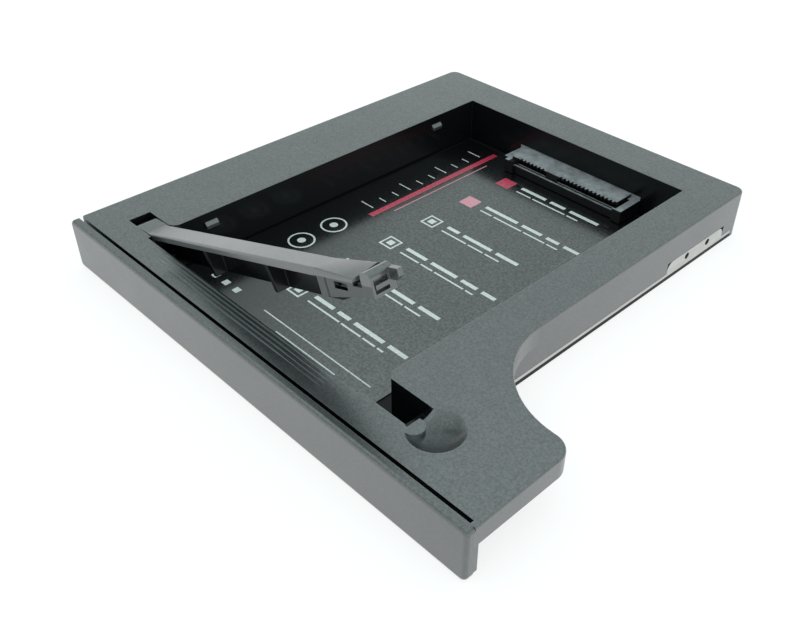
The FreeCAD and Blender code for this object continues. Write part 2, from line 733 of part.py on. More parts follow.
def make_bezel():
    """The front panel with its clips and the seats that hold it off the frame."""
    body = new_body("bezel")
    x0 = -bezel_overhang
    sk = sketch_on(body, "XZ_Plane", "bezel_outline", bezel_groove)
    rounded_outline(sk, x0, x0 + bezel_width, 0, bezel_height, bezel_corner_radius)
    last = pad(body, "panel", sk, bezel_thickness)
    front = -(bezel_groove.value + bezel_thickness.value)
    round_edges(body, "panel_edge", last, lambda e, p: near(p.y, front), bezel_edge_radius)
    sk = sketch_on(body, "XZ_Plane", "clip_outline", bezel_groove)
    for i in range(clip_count):
        x = clip_from_left + clip_spacing * i
        box_outline(sk, x, x + clip_width, clip_level, clip_level + clip_thickness)
    pad(body, "clips", sk, bezel_groove + outer_wall + clip_gap + clip_nib_length, True)
    sk = sketch_on(body, "XZ_Plane", "nib_outline", -(outer_wall + clip_gap))
    for i in range(clip_count):
        x = clip_from_left + clip_spacing * i
        box_outline(sk, x, x + clip_width, clip_level + clip_thickness / 2,
                    clip_level + clip_thickness + clip_nib)
    pad(body, "nibs", sk, clip_nib_length, True)
    sk = sketch_on(body, "XZ_Plane", "seat_outline", bezel_groove)
    for i in range(clip_count):
        x = clip_from_left + clip_spacing * i - seat_before_clip
        box_outline(sk, x, x + seat_width, seat_level, seat_level + seat_height)
    pad(body, "seats", sk, bezel_groove, True)
    # The right end turns back under the wing as far as the frame's front.
    sk = sketch_on(body, "XZ_Plane", "end_return_outline", bezel_groove)
    cr = bezel_corner_radius
    outline(sk, [
        (wing_edge - bezel_land, 0), (wing_edge - cr, 0), (wing_edge, cr), (wing_edge, wing_underside),
        (wing_edge - bezel_land, wing_underside)])
    body.Tip = pad(body, "end_return", sk, bezel_groove, True)
    return finish(body, "bezel")


def make_lock_bar():
    """The hinged bar: barrel and trunnions, ribbed channel, twisted flange end, cheek and latch."""
    body = new_body("lock_bar")
    front = pocket_front + bar_gap
    rear = pocket_rear - bar_gap
    width = rear - front
    top = body_height - bar_recess - pivot_height
    low = top - bar_depth
    tip = notch_end - tip_gap - pivot_x
    latch_end = tip - tip_length
    latch_start = latch_end - latch_length
    latch_low = top - latch_drop
    flange_front_end = latch_start - latch_slot
    flange_rear_end = flange_front_end + flange_skew
    twist_start = flange_rear_end - flange_twist_length
    cheek_start = latch_start - cheek_length
    rib_far = cheek_start - rib_before_cheek
    lip_end = cheek_start + lip_past_cheek

    sk = sketch_on(body, "XZ_Plane", "barrel_ring", -rear)
    ring(sk, 0, 0, barrel_radius)
    pad(body, "barrel", sk, width)
    # The neck leaves the barrel level when the bar is lifted and folds down to the flange.
    lift = math.radians(bar_lift_angle.value)
    sine = Size(math.sin(lift), "sin(%s * 1 deg)" % bar_lift_angle.text)
    cosine = Size(math.cos(lift), "cos(%s * 1 deg)" % bar_lift_angle.text)
    sk = sketch_on(body, "XZ_Plane", "neck_outline", -rear)
    outline(sk, [
        (0, 0), (0, top - neck_depth), (fold_reach + neck_past_fold, top - neck_depth),
        (fold_reach + neck_past_fold, top), (fold_reach, top),
        (barrel_radius * sine, barrel_radius * cosine)])
    pad(body, "neck", sk, width)
    sk = sketch_on(body, "YZ_Plane", "flange_section", fold_reach)
    outline(sk, [
        (front, top - bar_lip), (front + bar_lip_thickness, top - bar_lip),
        (front + bar_lip_thickness, top - bar_skin), (rear, top - bar_skin), (rear, top), (front, top)])
    pad(body, "flange", sk, twist_start - fold_reach)
    sk = sketch_on(body, "YZ_Plane", "lip_section", twist_start - bar_skin)
    box_outline(sk, front, front + bar_lip_thickness, top - bar_lip, top - bar_skin / 2)
    pad(body, "flange_lip", sk, lip_end - twist_start + bar_skin)

    # The flange's end leans towards the front as it nears the latch.
    near_sk = sketch_on(body, "YZ_Plane", "twist_near_section", twist_start)
    outline(near_sk, [(front, top - bar_skin), (rear, top - bar_skin), (rear, top), (front, top)])
    far_sk = sketch_on(body, "YZ_Plane", "twist_far_section", flange_rear_end)
    outline(far_sk, [
        (front, top - flange_twist_drop - bar_skin), (rear, top + flange_twist_rise - bar_skin),
        (rear, top + flange_twist_rise), (front, top - flange_twist_drop)])
    twist = body.newObject("PartDesign::AdditiveLoft", "flange_twist")
    twist.Profile = near_sk
    twist.Sections = [far_sk]
    twist.Ruled = True
    sk = sketch_on(body, "XY_Plane", "skew_outline", top + latch_rise)
    outline(sk, [
        (flange_front_end, front), (flange_front_end - bar_gap, front - bar_skin),
        (latch_start, front - bar_skin), (latch_start, rear + bar_skin), (flange_rear_end, rear)])
    pocket(body, "flange_skew", sk, latch_rise + bar_depth)

    # Rear wall, ribs and the cheek that closes the front of the latch end.
    sk = sketch_on(body, "XZ_Plane", "rear_wall_outline", -rear)
    wall_start = pivot_inset + wall_gap
    outline(sk, [
        (wall_start, top - bar_skin / 2), (wall_start, low), (cheek_start, low), (latch_start, latch_low),
        (latch_start + latch_length / 2, latch_low), (latch_start + latch_length / 2, top - bar_skin / 2)])
    pad(body, "rear_wall", sk, bar_skin)
    cheek_low = top - cheek_depth
    ribs = (("near", rib_near, low), ("middle", rib_middle, low), ("far", rib_far, cheek_low))
    for name, place, foot in ribs:
        sk = sketch_on(body, "YZ_Plane", name + "_rib_outline", place)
        outline(sk, [
            (front + rib_foot_inset, foot), (rear - bar_skin / 2, foot),
            (rear - bar_skin / 2, top - bar_skin / 2), (front + bar_lip_thickness / 2, top - bar_skin / 2),
            (front + bar_lip_thickness / 2, top - bar_lip)])
        pad(body, name + "_rib", sk, rib_thickness)
    sk = sketch_on(body, "XZ_Plane", "cheek_outline", -(front + cheek_thickness))
    cheek_top = top - bar_skin
    outline(sk, [
        (cheek_start, cheek_top), (cheek_start, cheek_low),
        (cheek_start + cheek_thickness, cheek_low), (latch_start, latch_low),
        (latch_start + latch_length / 2, latch_low), (latch_start + latch_length / 2, top - latch_slot_floor),
        (flange_front_end, top - latch_slot_floor), (flange_front_end, cheek_top)])
    x0 = cheek_start + cheek_window_start
    box_outline(sk, x0, x0 + cheek_window_length, top - cheek_window_top - cheek_window_height,
                top - cheek_window_top)
    pad(body, "cheek", sk, cheek_thickness)

    # Latch bar with a round top, a recessed end face with its tongue, and the tip at the rear.
    sk = sketch_on(body, "XZ_Plane", "latch_outline", -rear)
    lr = latch_round
    high = top + latch_rise
    outline(sk, [
        (latch_start, latch_low), (latch_end, latch_low), (latch_end, high - lr, lr, 1),
        (latch_end - lr, high), (latch_start + lr, high, lr, 1), (latch_start, high - lr)])
    pad(body, "latch_bar", sk, width)
    sk = sketch_on(body, "YZ_Plane", "latch_face_outline", latch_end)
    face_top = top - latch_face_top
    box_outline(sk, front + latch_face_margin, rear - tip_thickness - latch_face_margin / 2,
                face_top - latch_face_height, face_top)
    pocket(body, "latch_face", sk, latch_face_depth)
    sk = sketch_on(body, "YZ_Plane", "latch_tongue_outline", latch_end - latch_face_depth * 1.5)
    y0 = front + latch_face_margin * 1.5
    box_outline(sk, y0, y0 + latch_tongue_length, top - latch_tongue_top - latch_tongue_thickness,
                top - latch_tongue_top)
    pad(body, "latch_tongue", sk, latch_face_depth * 1.5)
    sk = sketch_on(body, "XZ_Plane", "tip_outline", -rear)
    tip_top = top + tip_above_top
    outline(sk, [
        (latch_end - latch_round / 2, tip_top - tip_height), (tip - tip_height / 3, tip_top - tip_height),
        (tip, tip_top - tip_height * 2 / 3), (tip, tip_top), (latch_end - latch_round / 2, tip_top)])
    pad(body, "tip", sk, tip_thickness)
    sk = sketch_on(body, "XZ_Plane", "trunnion_ring", -(rear + trunnion_length))
    ring(sk, 0, 0, trunnion_radius)
    last = pad(body, "trunnions", sk, width + trunnion_length * 2)

    # Softened long edges of the flange.
    level, start, stop = top.value, fold_reach.value, twist_start.value

    def on_flange(edge, p):
        along = edge.Length > (stop - start) / 2
        return along and near(p.z, level) and (near(p.y, front.value) or near(p.y, rear.value))

    body.Tip = round_edges(body, "flange_edges", last, on_flange, bar_edge_radius)
    finish(body, "lock_bar")
    lifted = FreeCAD.Rotation(Vector(0, -1, 0), bar_lift_angle.value)
    body.Placement = FreeCAD.Placement(Vector(0, 0, 0), lifted)
    bind(body, "Placement.Base.x", pivot_x - centre_x)
    bind(body, "Placement.Base.z", pivot_height)
    bind(body, "Placement.Rotation.Angle", bar_lift_angle)
    return body


def make_bottom_plate():
    """The steel floor with a turned-up lip on each side and a tapped tab on the right."""
    body = new_body("bottom_plate")
    rc, fc = rear_corner_radius, front_corner_cut
    sk = sketch_on(body, "XY_Plane", "plate_outline", 0)
    outline(sk, [
        (fc, 0), (body_width, 0), (body_width, body_depth - rc, rc, 1),
        (body_width - rc, body_depth), (rc, body_depth, rc, 1), (0, body_depth - rc), (0, fc)])
    for x, y in base_screw_places:
        ring(sk, x, y, screw_radius + hole_clearance)
    pad(body, "plate", sk, plate_thickness)
    sk = sketch_on(body, "XZ_Plane", "lip_outlines", -(body_depth - lip_inset))
    box_outline(sk, 0, lip_thickness, plate_thickness / 2, lip_height)
    box_outline(sk, body_width - lip_thickness, body_width, plate_thickness / 2, lip_height)
    pad(body, "lips", sk, body_depth - lip_inset * 2)
    tab_rear = body_depth - tab_from_rear
    tab_front = tab_rear - tab_length
    tr = tab_corner_radius
    sk = sketch_on(body, "YZ_Plane", "tab_outline", body_width)
    outline(sk, [
        (tab_front, plate_thickness / 2), (tab_rear, plate_thickness / 2), (tab_rear, tab_height - tr, tr, 1),
        (tab_rear - tr, tab_height), (tab_front + tr, tab_height, tr, 1), (tab_front, tab_height - tr)])
    for i in range(2):
        y = body_depth - tab_hole_from_rear - tab_hole_spacing * i
        ring(sk, y, tab_hole_level, tab_hole_radius)
    last = pad(body, "side_tab", sk, lip_thickness, True)
    wide = body_width.value

    def on_bend(edge, p):
        return near(p.z, 0) and edge.Length > 50 and (near(p.x, 0) or near(p.x, wide))

    last = round_edges(body, "bends", last, on_bend, bend_radius)

    def on_hole(edge, p):
        curved = hasattr(edge.Curve, "Radius")
        return near(p.z, 0) and curved and near(edge.Curve.Radius, screw_radius.value + hole_clearance.value)

    body.Tip = round_edges(body, "countersinks", last, on_hole, head_height, "Chamfer")
    return finish(body, "bottom_plate")


def make_floor_label():
    """The printed sheet stuck to the floor of the bay."""
    body = new_body("floor_label")
    x0 = left_rail + label_from_left
    y0 = ledge_depth + label_from_ledge
    sk = sketch_on(body, "XY_Plane", "label_outline", plate_thickness)
    rounded_outline(sk, x0, x0 + label_width, y0, y0 + label_depth, label_corner_radius)
    body.Tip = pad(body, "sheet", sk, label_thickness)
    return finish(body, "floor_label")


# The drive receptacle stands off the bay's middle towards the right.
receptacle_x0 = left_rail + bay_width / 2 + receptacle_offset - receptacle_width / 2
receptacle_low = floor_top + receptacle_above_floor
receptacle_top = receptacle_low + receptacle_height
receptacle_front = bay_rear - receptacle_reach
contact_x0 = receptacle_x0 + contact_inset
mouth_top = receptacle_top - receptacle_shelf
contact_places = []
for i in range(7):
    contact_places.append(contact_x0 + contact_pitch * i)
for i in range(15):
    contact_places.append(contact_x0 + contact_pitch * (i + 6) + segment_gap)


def make_receptacle():
    """The right-angle drive receptacle: mouth, key, contact slots, sill and guide ears."""
    x0, x1 = receptacle_x0, receptacle_x0 + receptacle_width
    rear = board_front
    block = box("receptacle_block", x0, x1, receptacle_front, rear, receptacle_low, receptacle_top)
    foot = box("receptacle_foot", x0, x1, rear, rear + receptacle_foot, board_top, receptacle_top)
    left_ear_start = x0 + left_ear_inset
    sill = box("receptacle_sill", left_ear_start + ear_width, x1 - ear_width, receptacle_front - sill_reach,
               receptacle_front, receptacle_low, mouth_top - mouth_height)
    ears = []
    for name, a, b in (("left_ear", left_ear_start, left_ear_start + ear_width), ("right_ear", x1 - ear_width, x1)):
        ears.append(box(name, a, b, receptacle_front - ear_reach, receptacle_front,
                        receptacle_low, receptacle_top - ear_below_top))
    solid = fuse("receptacle_solid", [block, foot, sill] + ears)
    signal_end = contact_places[6] + mouth_margin
    power_start = contact_places[7] - mouth_margin
    mouths = []
    for name, a, b in (("left_shoulder", x0 - ear_width, x0 + ear_width),
                       ("right_shoulder", x1 - ear_width, x1 + ear_width)):
        mouths.append(box(name, a, b, receptacle_front - ear_reach * 2, bay_rear,
                          receptacle_top - ear_below_top, receptacle_top + receptacle_shelf))
    for name, a, b in (("signal_mouth", contact_places[0] - mouth_margin, signal_end),
                       ("power_mouth", power_start, contact_places[21] + mouth_margin)):
        mouths.append(box(name, a, b, receptacle_front - sill_reach * 2, receptacle_front + mouth_depth,
                          mouth_top - mouth_height, mouth_top))
    teeth = []
    for i, x in enumerate(contact_places):
        teeth.append(box("tooth_%02d" % (i + 1), x - tooth_width / 2, x + tooth_width / 2,
                         receptacle_front - tooth_depth, receptacle_front + tooth_depth,
                         mouth_top - mouth_height / 2, receptacle_top + receptacle_shelf))
    return finish(cut("receptacle_cut", solid, fuse("receptacle_cuts", mouths + teeth)), "drive_receptacle")


def make_receptacle_contacts():
    """One spring blade under the roof of the mouth at each contact place."""
    blades = []
    for i, x in enumerate(contact_places):
        blades.append(box("blade_%02d" % (i + 1), x - contact_width / 2, x + contact_width / 2,
                          receptacle_front + tooth_depth + contact_setback, receptacle_front + mouth_depth,
                          mouth_top - contact_thickness, mouth_top))
    return finish(group("blade_row", blades), "receptacle_contacts")


def make_circuit_board():
    """The board inside the rear rail."""
    slab = box("board_slab", board_from_left, board_from_left + board_width,
               board_front, board_front + board_depth, board_level, board_top)
    holes = []
    for i, (x, y) in enumerate(board_screw_places):
        holes.append(rod("board_hole_%d" % (i + 1), x, y, board_level - board_thickness,
                         screw_radius + hole_clearance, board_thickness * 3))
    return finish(cut("board_cut", slab, fuse("board_holes", holes)), "circuit_board")


# The host plug reaches out through the rear wall.
plug_rear = body_depth
plug_low = board_top
plug_x1 = plug_from_left + plug_width
tongue_low = plug_low + plug_height / 2 - tongue_thickness / 2
signal_tongue_x0 = plug_from_left + plug_wall + tongue_margin
signal_tongue_x1 = signal_tongue_x0 + contact_pitch * 7
power_tongue_x0 = signal_tongue_x1 + tongue_split
power_tongue_x1 = power_tongue_x0 + power_pitch * 6
plug_mouth_front = plug_rear - plug_mouth_depth


def make_host_plug():
    """The rear plug: a shroud around two contact tongues."""
    shell = box("plug_shell", plug_from_left, plug_x1, plug_rear - plug_depth, plug_rear,
                plug_low, plug_low + plug_height)
    mouth = box("plug_mouth", plug_from_left + plug_wall, plug_x1 - plug_wall, plug_mouth_front,
                plug_rear + plug_wall, plug_low + plug_wall, plug_low + plug_height - plug_wall)
    shroud = cut("plug_shroud", shell, mouth)
    tongues = []
    for name, a, b in (("signal_tongue", signal_tongue_x0, signal_tongue_x1),
                       ("power_tongue", power_tongue_x0, power_tongue_x1)):
        tongues.append(box(name, a, b, plug_mouth_front - plug_wall, plug_rear - tongue_setback,
                           tongue_low, tongue_low + tongue_thickness))
    return finish(fuse("plug_solid", [shroud] + tongues), "host_plug")


def make_host_contacts():
    """Flat strips on the two tongues."""
    strips = []
    for count, start, pitch, name in ((7, signal_tongue_x0, contact_pitch, "signal"),
                                      (6, power_tongue_x0, power_pitch, "power")):
        for i in range(count):
            x = start + pitch * i + pitch / 2
            strips.append(box("%s_strip_%d" % (name, i + 1), x - strip_width / 2, x + strip_width / 2,
                              plug_mouth_front, plug_rear - tongue_setback * 2,
                              tongue_low + tongue_thickness, tongue_low + tongue_thickness + strip_thickness))
    return finish(group("strip_rows", strips), "host_contacts")


def cross_recess(name, x, y, z):
    """The two crossed slots cut up into a screw's head."""
    arms = []
    long, short = recess_span / 2, recess_width / 2
    for arm, dx, dy in (("across", long, short), ("along", short, long)):
        arms.append(box("%s_%s" % (name, arm), x - dx, x + dx, y - dy, y + dy,
                        z - recess_depth, z + recess_depth))
    return fuse(name, arms)


def make_base_screws():
    """Countersunk screws through the floor into the frame's bosses."""
    screws = []
    for i, (x, y) in enumerate(base_screw_places):
        head = cone("base_head_%d" % (i + 1), x, y, 0, head_radius, screw_radius, head_height)
        shank = rod("base_shank_%d" % (i + 1), x, y, head_height / 2, screw_radius, screw_length)
        slot = cross_recess("base_recess_%d" % (i + 1), x, y, as_size(0))
        screws.append(cut("base_screw_%d" % (i + 1), fuse("base_blank_%d" % (i + 1), [head, shank]), slot))
    return finish(group("base_screw_set", screws), "base_screws")


def make_board_screws():
    """Pan-head screws that hold the board up against its bosses."""
    screws = []
    for i, (x, y) in enumerate(board_screw_places):
        head = rod("board_head_%d" % (i + 1), x, y, board_level - board_head_height,
                   board_head_radius, board_head_height)
        shank = rod("board_shank_%d" % (i + 1), x, y, board_level - board_head_height / 2,
                    screw_radius, screw_length)
        slot = cross_recess("board_recess_%d" % (i + 1), x, y, board_level - board_head_height)
        screws.append(cut("board_screw_%d" % (i + 1), fuse("board_blank_%d" % (i + 1), [head, shank]), slot))
    return finish(group("board_screw_set", screws), "board_screws")


doc.recompute()
pieces = [
    make_frame(), make_bezel(), make_lock_bar(), make_bottom_plate(), make_floor_label(),
    make_receptacle(), make_receptacle_contacts(), make_circuit_board(), make_host_plug(),
    make_host_contacts(), make_base_screws(), make_board_screws()]
doc.recompute()

for thing in doc.Objects:
    if "Invalid" in thing.State or "Error" in thing.State:
        raise RuntimeError("%s did not build: %s" % (thing.Label, thing.State))

os.makedirs("parts", exist_ok=True)
for piece in pieces:
    if piece.Shape.isNull() or not piece.Shape.isValid():
        raise RuntimeError(piece.Label + " has no valid shape")
    piece.Shape.exportStep("parts/" + piece.Label + ".step")
    print("%-20s %2d solids %9.1f mm3" % (piece.Label, len(piece.Shape.Solids), piece.Shape.Volume))
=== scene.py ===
"""Finishes of the laptop drive caddy, laid out as a Blender add-on and run as a script."""
import json
import math

import bmesh
import bpy
from bpy.props import FloatProperty, FloatVectorProperty, PointerProperty
from mathutils import Matrix, Vector


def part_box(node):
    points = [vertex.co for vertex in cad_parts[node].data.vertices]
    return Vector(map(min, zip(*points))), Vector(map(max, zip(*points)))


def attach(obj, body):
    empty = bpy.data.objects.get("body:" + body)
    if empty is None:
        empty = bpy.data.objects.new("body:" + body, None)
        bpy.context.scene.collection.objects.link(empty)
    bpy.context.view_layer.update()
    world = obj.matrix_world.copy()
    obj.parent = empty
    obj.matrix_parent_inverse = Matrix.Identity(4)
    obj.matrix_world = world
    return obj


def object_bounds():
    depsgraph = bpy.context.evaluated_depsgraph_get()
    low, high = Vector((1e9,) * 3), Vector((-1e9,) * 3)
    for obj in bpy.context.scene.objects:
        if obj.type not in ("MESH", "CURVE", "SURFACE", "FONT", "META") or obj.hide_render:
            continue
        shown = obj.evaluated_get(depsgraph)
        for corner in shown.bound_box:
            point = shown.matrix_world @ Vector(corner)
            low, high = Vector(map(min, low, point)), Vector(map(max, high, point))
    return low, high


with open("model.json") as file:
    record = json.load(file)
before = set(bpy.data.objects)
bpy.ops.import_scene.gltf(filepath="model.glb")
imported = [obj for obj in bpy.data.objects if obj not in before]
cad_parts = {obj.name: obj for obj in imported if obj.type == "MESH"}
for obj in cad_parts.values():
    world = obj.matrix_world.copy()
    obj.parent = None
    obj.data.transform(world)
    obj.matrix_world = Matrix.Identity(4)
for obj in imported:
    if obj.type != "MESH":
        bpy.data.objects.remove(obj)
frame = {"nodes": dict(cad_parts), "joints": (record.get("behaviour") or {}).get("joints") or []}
CAD_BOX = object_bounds()

bl_info = {
    "name": "Laptop Drive Caddy",
    "version": (1, 0, 0),
    "blender": (4, 5, 0),
    "location": "View3D > Sidebar > Caddy",
    "description": "Gives the packed drive caddy its finishes, its printed floor label and its stage",
    "category": "Object",
}

MM = 0.001
NODES = frame["nodes"]

# Every place on the caddy is measured from the steel floor's lowest corner, at the front left.
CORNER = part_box("bottom_plate")[0]

# Height of the frame's flat top, in millimetres.
FRAME_TOP = 12.7


def linear(code):
    """Turns an sRGB hex code into linear red, green and blue."""
    parts = [int(code[i:i + 2], 16) / 255 for i in (0, 2, 4)]
    return [c / 12.92 if c <= 0.04045 else ((c + 0.055) / 1.055) ** 2.4 for c in parts]


def place(x, y, z):
    """A place in millimetres from the caddy's front left corner, in metres in the row frame."""
    return CORNER + Vector((x, y, z)) * MM


def colour(name, text, code):
    """A colour that the sidebar can change."""
    return FloatVectorProperty(name=name, description=text, subtype="COLOR", size=3, min=0, max=1,
                               default=linear(code))


def length(name, text, millimetres):
    """A length that the sidebar can change."""
    return FloatProperty(name=name, description=text, unit="LENGTH", min=0, default=millimetres * MM)


def number(name, text, value, top=1.0):
    """A plain number that the sidebar can change."""
    return FloatProperty(name=name, description=text, min=0, max=top, default=value)


class CaddyFinish(bpy.types.PropertyGroup):
    """Colours and surface sizes of the caddy's materials."""

    frame_black: colour("Frame black", "Plastic of the frame", "22272A")
    bezel_black: colour("Bezel black", "Plastic of the bezel", "22272A")
    bar_black: colour("Bar black", "Plastic of the lock bar", "3A3E3F")
    # Painted shade: the hollows are drawn in this black, with their sheen taken away.
    painted_shade_black: colour("Polished black", "Smooth moulded faces in the hollows", "0C0E10")
    # Paler edges: partly rubbed wear, partly a painted highlight; the thin painted highlight lines on the
    # grip ridges use it too.
    edge_wear_and_highlight_grey: colour("Edge grey", "Edges rubbed by handling", "767C7D")
    # The pale edges inside the painted shade of the hollows: partly rubbed wear, partly a painted highlight.
    shaded_edge_wear_and_highlight: colour("Polished edge", "Edges of the smooth faces", "2C3032")
    zinc: colour("Zinc", "Plated steel sheet", "C8C9C6")
    # The steel floor is drawn in this dark colour, not metallic, below a given height.
    low_band_dark: colour("Coating", "Dark coating under the steel floor", "121314")
    film_black: colour("Film black", "Ground of the printed label", "0A0B0D")
    print_white: colour("Print white", "White ink on the label", "D6DCDC")
    print_crimson: colour("Print crimson", "Crimson ink on the label", "C02A4C")
    print_rose: colour("Print rose", "Tint of the crimson ink", "D98A9A")
    nylon: colour("Nylon", "Connector housings", "101113")
    # Painted highlight: the receptacle's upper faces and sill edges are drawn in this paler grey.
    nylon_highlight: colour("Nylon top", "Scuffed upper faces of the drive receptacle", "94979A")
    gilt: colour("Gilt", "Gold flash on the contacts", "D8B25E")
    mask_green: colour("Mask green", "Solder mask on the board", "1C5A38")
    nickel: colour("Nickel", "Plated screws", "B9B6AE")
    grain: length("Grain", "Width of one spark-erosion pit as drawn", 0.46)
    edge_radius: length("Edge radius", "Round that catches the light on moulded edges", 0.22)


class CaddyPrint(bpy.types.PropertyGroup):
    """Sizes of the print on the floor label."""

    ink: length("Ink", "Height of the ink above the film", 0.02)
    bold: length("Bold", "Height of a bold row of dashes", 1.15)
    fine: length("Fine", "Height of a fine row of dashes", 0.5)
    mark: length("Mark", "Half the side of a square mark", 2.2)
    rule: length("Rule", "Width of the crimson stripe", 1.7)
    stroke: length("Stroke", "Width of an outline", 0.34)


class CaddyStage(bpy.types.PropertyGroup):
    """Light, floor and camera."""

    horizon: number("Horizon", "Strength of the light near the horizon", 1.25, 4.0)
    shoulder: number("Shoulder", "Strength of the light where the walls meet the ceiling", 0.68, 4.0)
    zenith: number("Zenith", "Strength of the light overhead", 1.1, 4.0)
    ceiling: colour("Ceiling", "Faintly cool colour of the light overhead", "EFFFFE")
    key: FloatProperty(name="Key", description="Power of the soft lamp at the right", unit="POWER", min=0,
                       default=5.0)
    floor_glow: number("Floor glow", "Share of the floor's white that the object cannot shade", 0.68)
    floor_size: length("Floor size", "Side of the floor", 4000)
    lens: FloatProperty(name="Lens", description="Focal length of the camera", min=1, default=40.79)


def group(name):
    """One of the caddy's settings groups."""
    return getattr(bpy.context.scene, "caddy_" + name)


def fill(tree, node, inputs):
    """Gives each input of a node a value or another node's output."""
    for key, value in inputs.items():
        if isinstance(value, bpy.types.NodeSocket):
            tree.links.new(value, node.inputs[key])
        else:
            node.inputs[key].default_value = value


def add(tree, kind, inputs=None, **settings):
    """Adds a node, sets it, and fills its inputs."""
    node = tree.nodes.new("ShaderNode" + kind)
    for name, value in settings.items():
        setattr(node, name, value)
    fill(tree, node, inputs or {})
    return node


# Limits within which most values of a noise lie, a narrower pair for strong contrast, and its middle.
SPREAD = {1: 0.3, 2: 0.7}
NARROW = {1: 0.35, 2: 0.65}
MID_NOISE = 0.5

# Upward part of a face's normal where it hardly and where it fully looks up.
LOOKS_UP = {1: 0.3, 2: 0.9}

# What a mask gives outside and inside, and settings of a node that mixes two colours or tints one.
MASK = {3: 0.0, 4: 1.0}
COLOUR = {"data_type": "RGBA"}
TINT = {"data_type": "RGBA", "blend_type": "MULTIPLY"}

# Half the width of the soft edge of a box's mask.
BOX_EDGE = 0.03 * MM


def rgba(values):
    """A colour with full alpha."""
    return (*values[:3], 1.0)


def per(millimetres):
    """Texture scale at which one feature is that many millimetres wide."""
    return 1.0 / (millimetres * MM)


def empty_tree(owner):
    """The node tree of a material or a world, emptied."""
    owner.use_nodes = True
    owner.node_tree.nodes.clear()
    return owner.node_tree


def new_material(name):
    """A bare material with its output, its shader and the piece's own coordinates."""
    made = bpy.data.materials.new(name)
    tree = empty_tree(made)
    shader = add(tree, "BsdfPrincipled")
    add(tree, "OutputMaterial", {"Surface": shader.outputs["BSDF"]})
    spot = add(tree, "TexCoord").outputs["Object"]
    return made, tree, shader, spot


def inside(tree, spot, low, high, soft=BOX_EDGE):
    """A mask that is 1 within a box given by two corners and 0 outside it, with a soft edge."""
    middle = add(tree, "VectorMath", {0: spot, 1: (low + high) / 2}, operation="SUBTRACT").outputs[0]
    apart = add(tree, "VectorMath", {0: middle}, operation="ABSOLUTE").outputs[0]
    past = add(tree, "VectorMath", {0: apart, 1: (high - low) / 2}, operation="SUBTRACT").outputs[0]
    most = any_of(tree, add(tree, "SeparateXYZ", {0: past}).outputs)
    return add(tree, "MapRange", {0: most, 1: soft, 2: -soft, **MASK}).outputs[0]


def any_of(tree, masks):
    """The largest of several masks."""
    whole = masks[0]
    for mask in masks[1:]:
        whole = add(tree, "Math", {0: whole, 1: mask}, operation="MAXIMUM").outputs[0]
    return whole


def boxes(tree, spot, corners):
    """A mask that is 1 within any of several boxes."""
    return any_of(tree, [inside(tree, spot, *pair) for pair in corners])


# Plastic: its refractive index, the depth of its pits, and the width in millimetres of its cloudy patches.
ABS_IOR = 1.53
PIT_DEPTH = 0.08 * MM
CLOUD = 14.0

# Agreement of the rounded and the flat normal where the pale edge starts and is full, and how strong it is;
# the pale edge is partly rubbed wear, partly a painted highlight.
EDGE_WEAR_AND_HIGHLIGHT = {1: 0.995, 2: 0.85, 3: 0.0, 4: 0.45}

# Share of the sheen taken away as painted shade in a dish's middle, on shaded faces and on ridges that look
# up.
DISH_SHADE, FACE_SHADE, RIDGE_SHADE = 0.58, 0.7, 0.48

# Where a dish's painted shade starts and is full, in its radii, and how round its rim is, in edge radii.
DISH_START, DISH_FULL = 1.15, 0.5
RIM_LOSS, RIM_ROUND = 0.2, 9

# Soft edges of the ridged stretch and of its core of painted shade, and how round the ridges are, in edge
# radii.
STRETCH_EDGE, CORE_EDGE = 0.5 * MM, 3 * MM
RIDGE_ROUND = 0.1

# Distance from a ridge's near edge where its thin painted highlight line starts and is full, and how strong
# it is.
RIDGE_HIGHLIGHT = {1: 0.13 * MM, 2: 0.05 * MM, 3: 0.0, 4: 0.6}


def dished(tree, spot, dish):
    """Painted shade in a shallow dish, drawn as lost sheen: most in its middle, none on the catch that
    stands in it.
    """
    centre, reach, catch = dish
    away = add(tree, "VectorMath", {0: spot, 1: centre}, operation="DISTANCE").outputs["Value"]
    shade_share = add(tree, "MapRange", {0: away, 1: reach * DISH_START, 2: reach * DISH_FULL, 3: 0.0,
                                  4: DISH_SHADE}).outputs[0]
    clear = add(tree, "Math", {0: 1.0, 1: inside(tree, spot, *catch)}, operation="SUBTRACT").outputs[0]
    return add(tree, "Math", {0: shade_share, 1: clear}, operation="MULTIPLY").outputs[0]


def ridged(tree, spot, up, ridges):
    """Masks of the grip ridges: their stretch, the painted shade of its core, and a thin painted highlight
    line along each near edge.
    """
    stretch, shade_core, first, pitch = ridges
    zone = inside(tree, spot, *stretch, STRETCH_EDGE)
    middle = inside(tree, spot, *shade_core, CORE_EDGE)
    shade_share = add(tree, "MapRange", {0: up, **LOOKS_UP, 3: 0.0, 4: RIDGE_SHADE}).outputs[0]
    shade_share = add(tree, "Math", {0: middle, 1: shade_share}, operation="MULTIPLY").outputs[0]
    across = add(tree, "SeparateXYZ", {0: spot}).outputs[1]
    across = add(tree, "Math", {0: across, 1: first}, operation="SUBTRACT").outputs[0]
    across = add(tree, "Math", {0: across, 1: pitch / 2}, operation="PINGPONG").outputs[0]
    line = add(tree, "MapRange", {0: across, **RIDGE_HIGHLIGHT}).outputs[0]
    line = add(tree, "Math", {0: line, 1: zone}, operation="MULTIPLY").outputs[0]
    return zone, shade_share, line


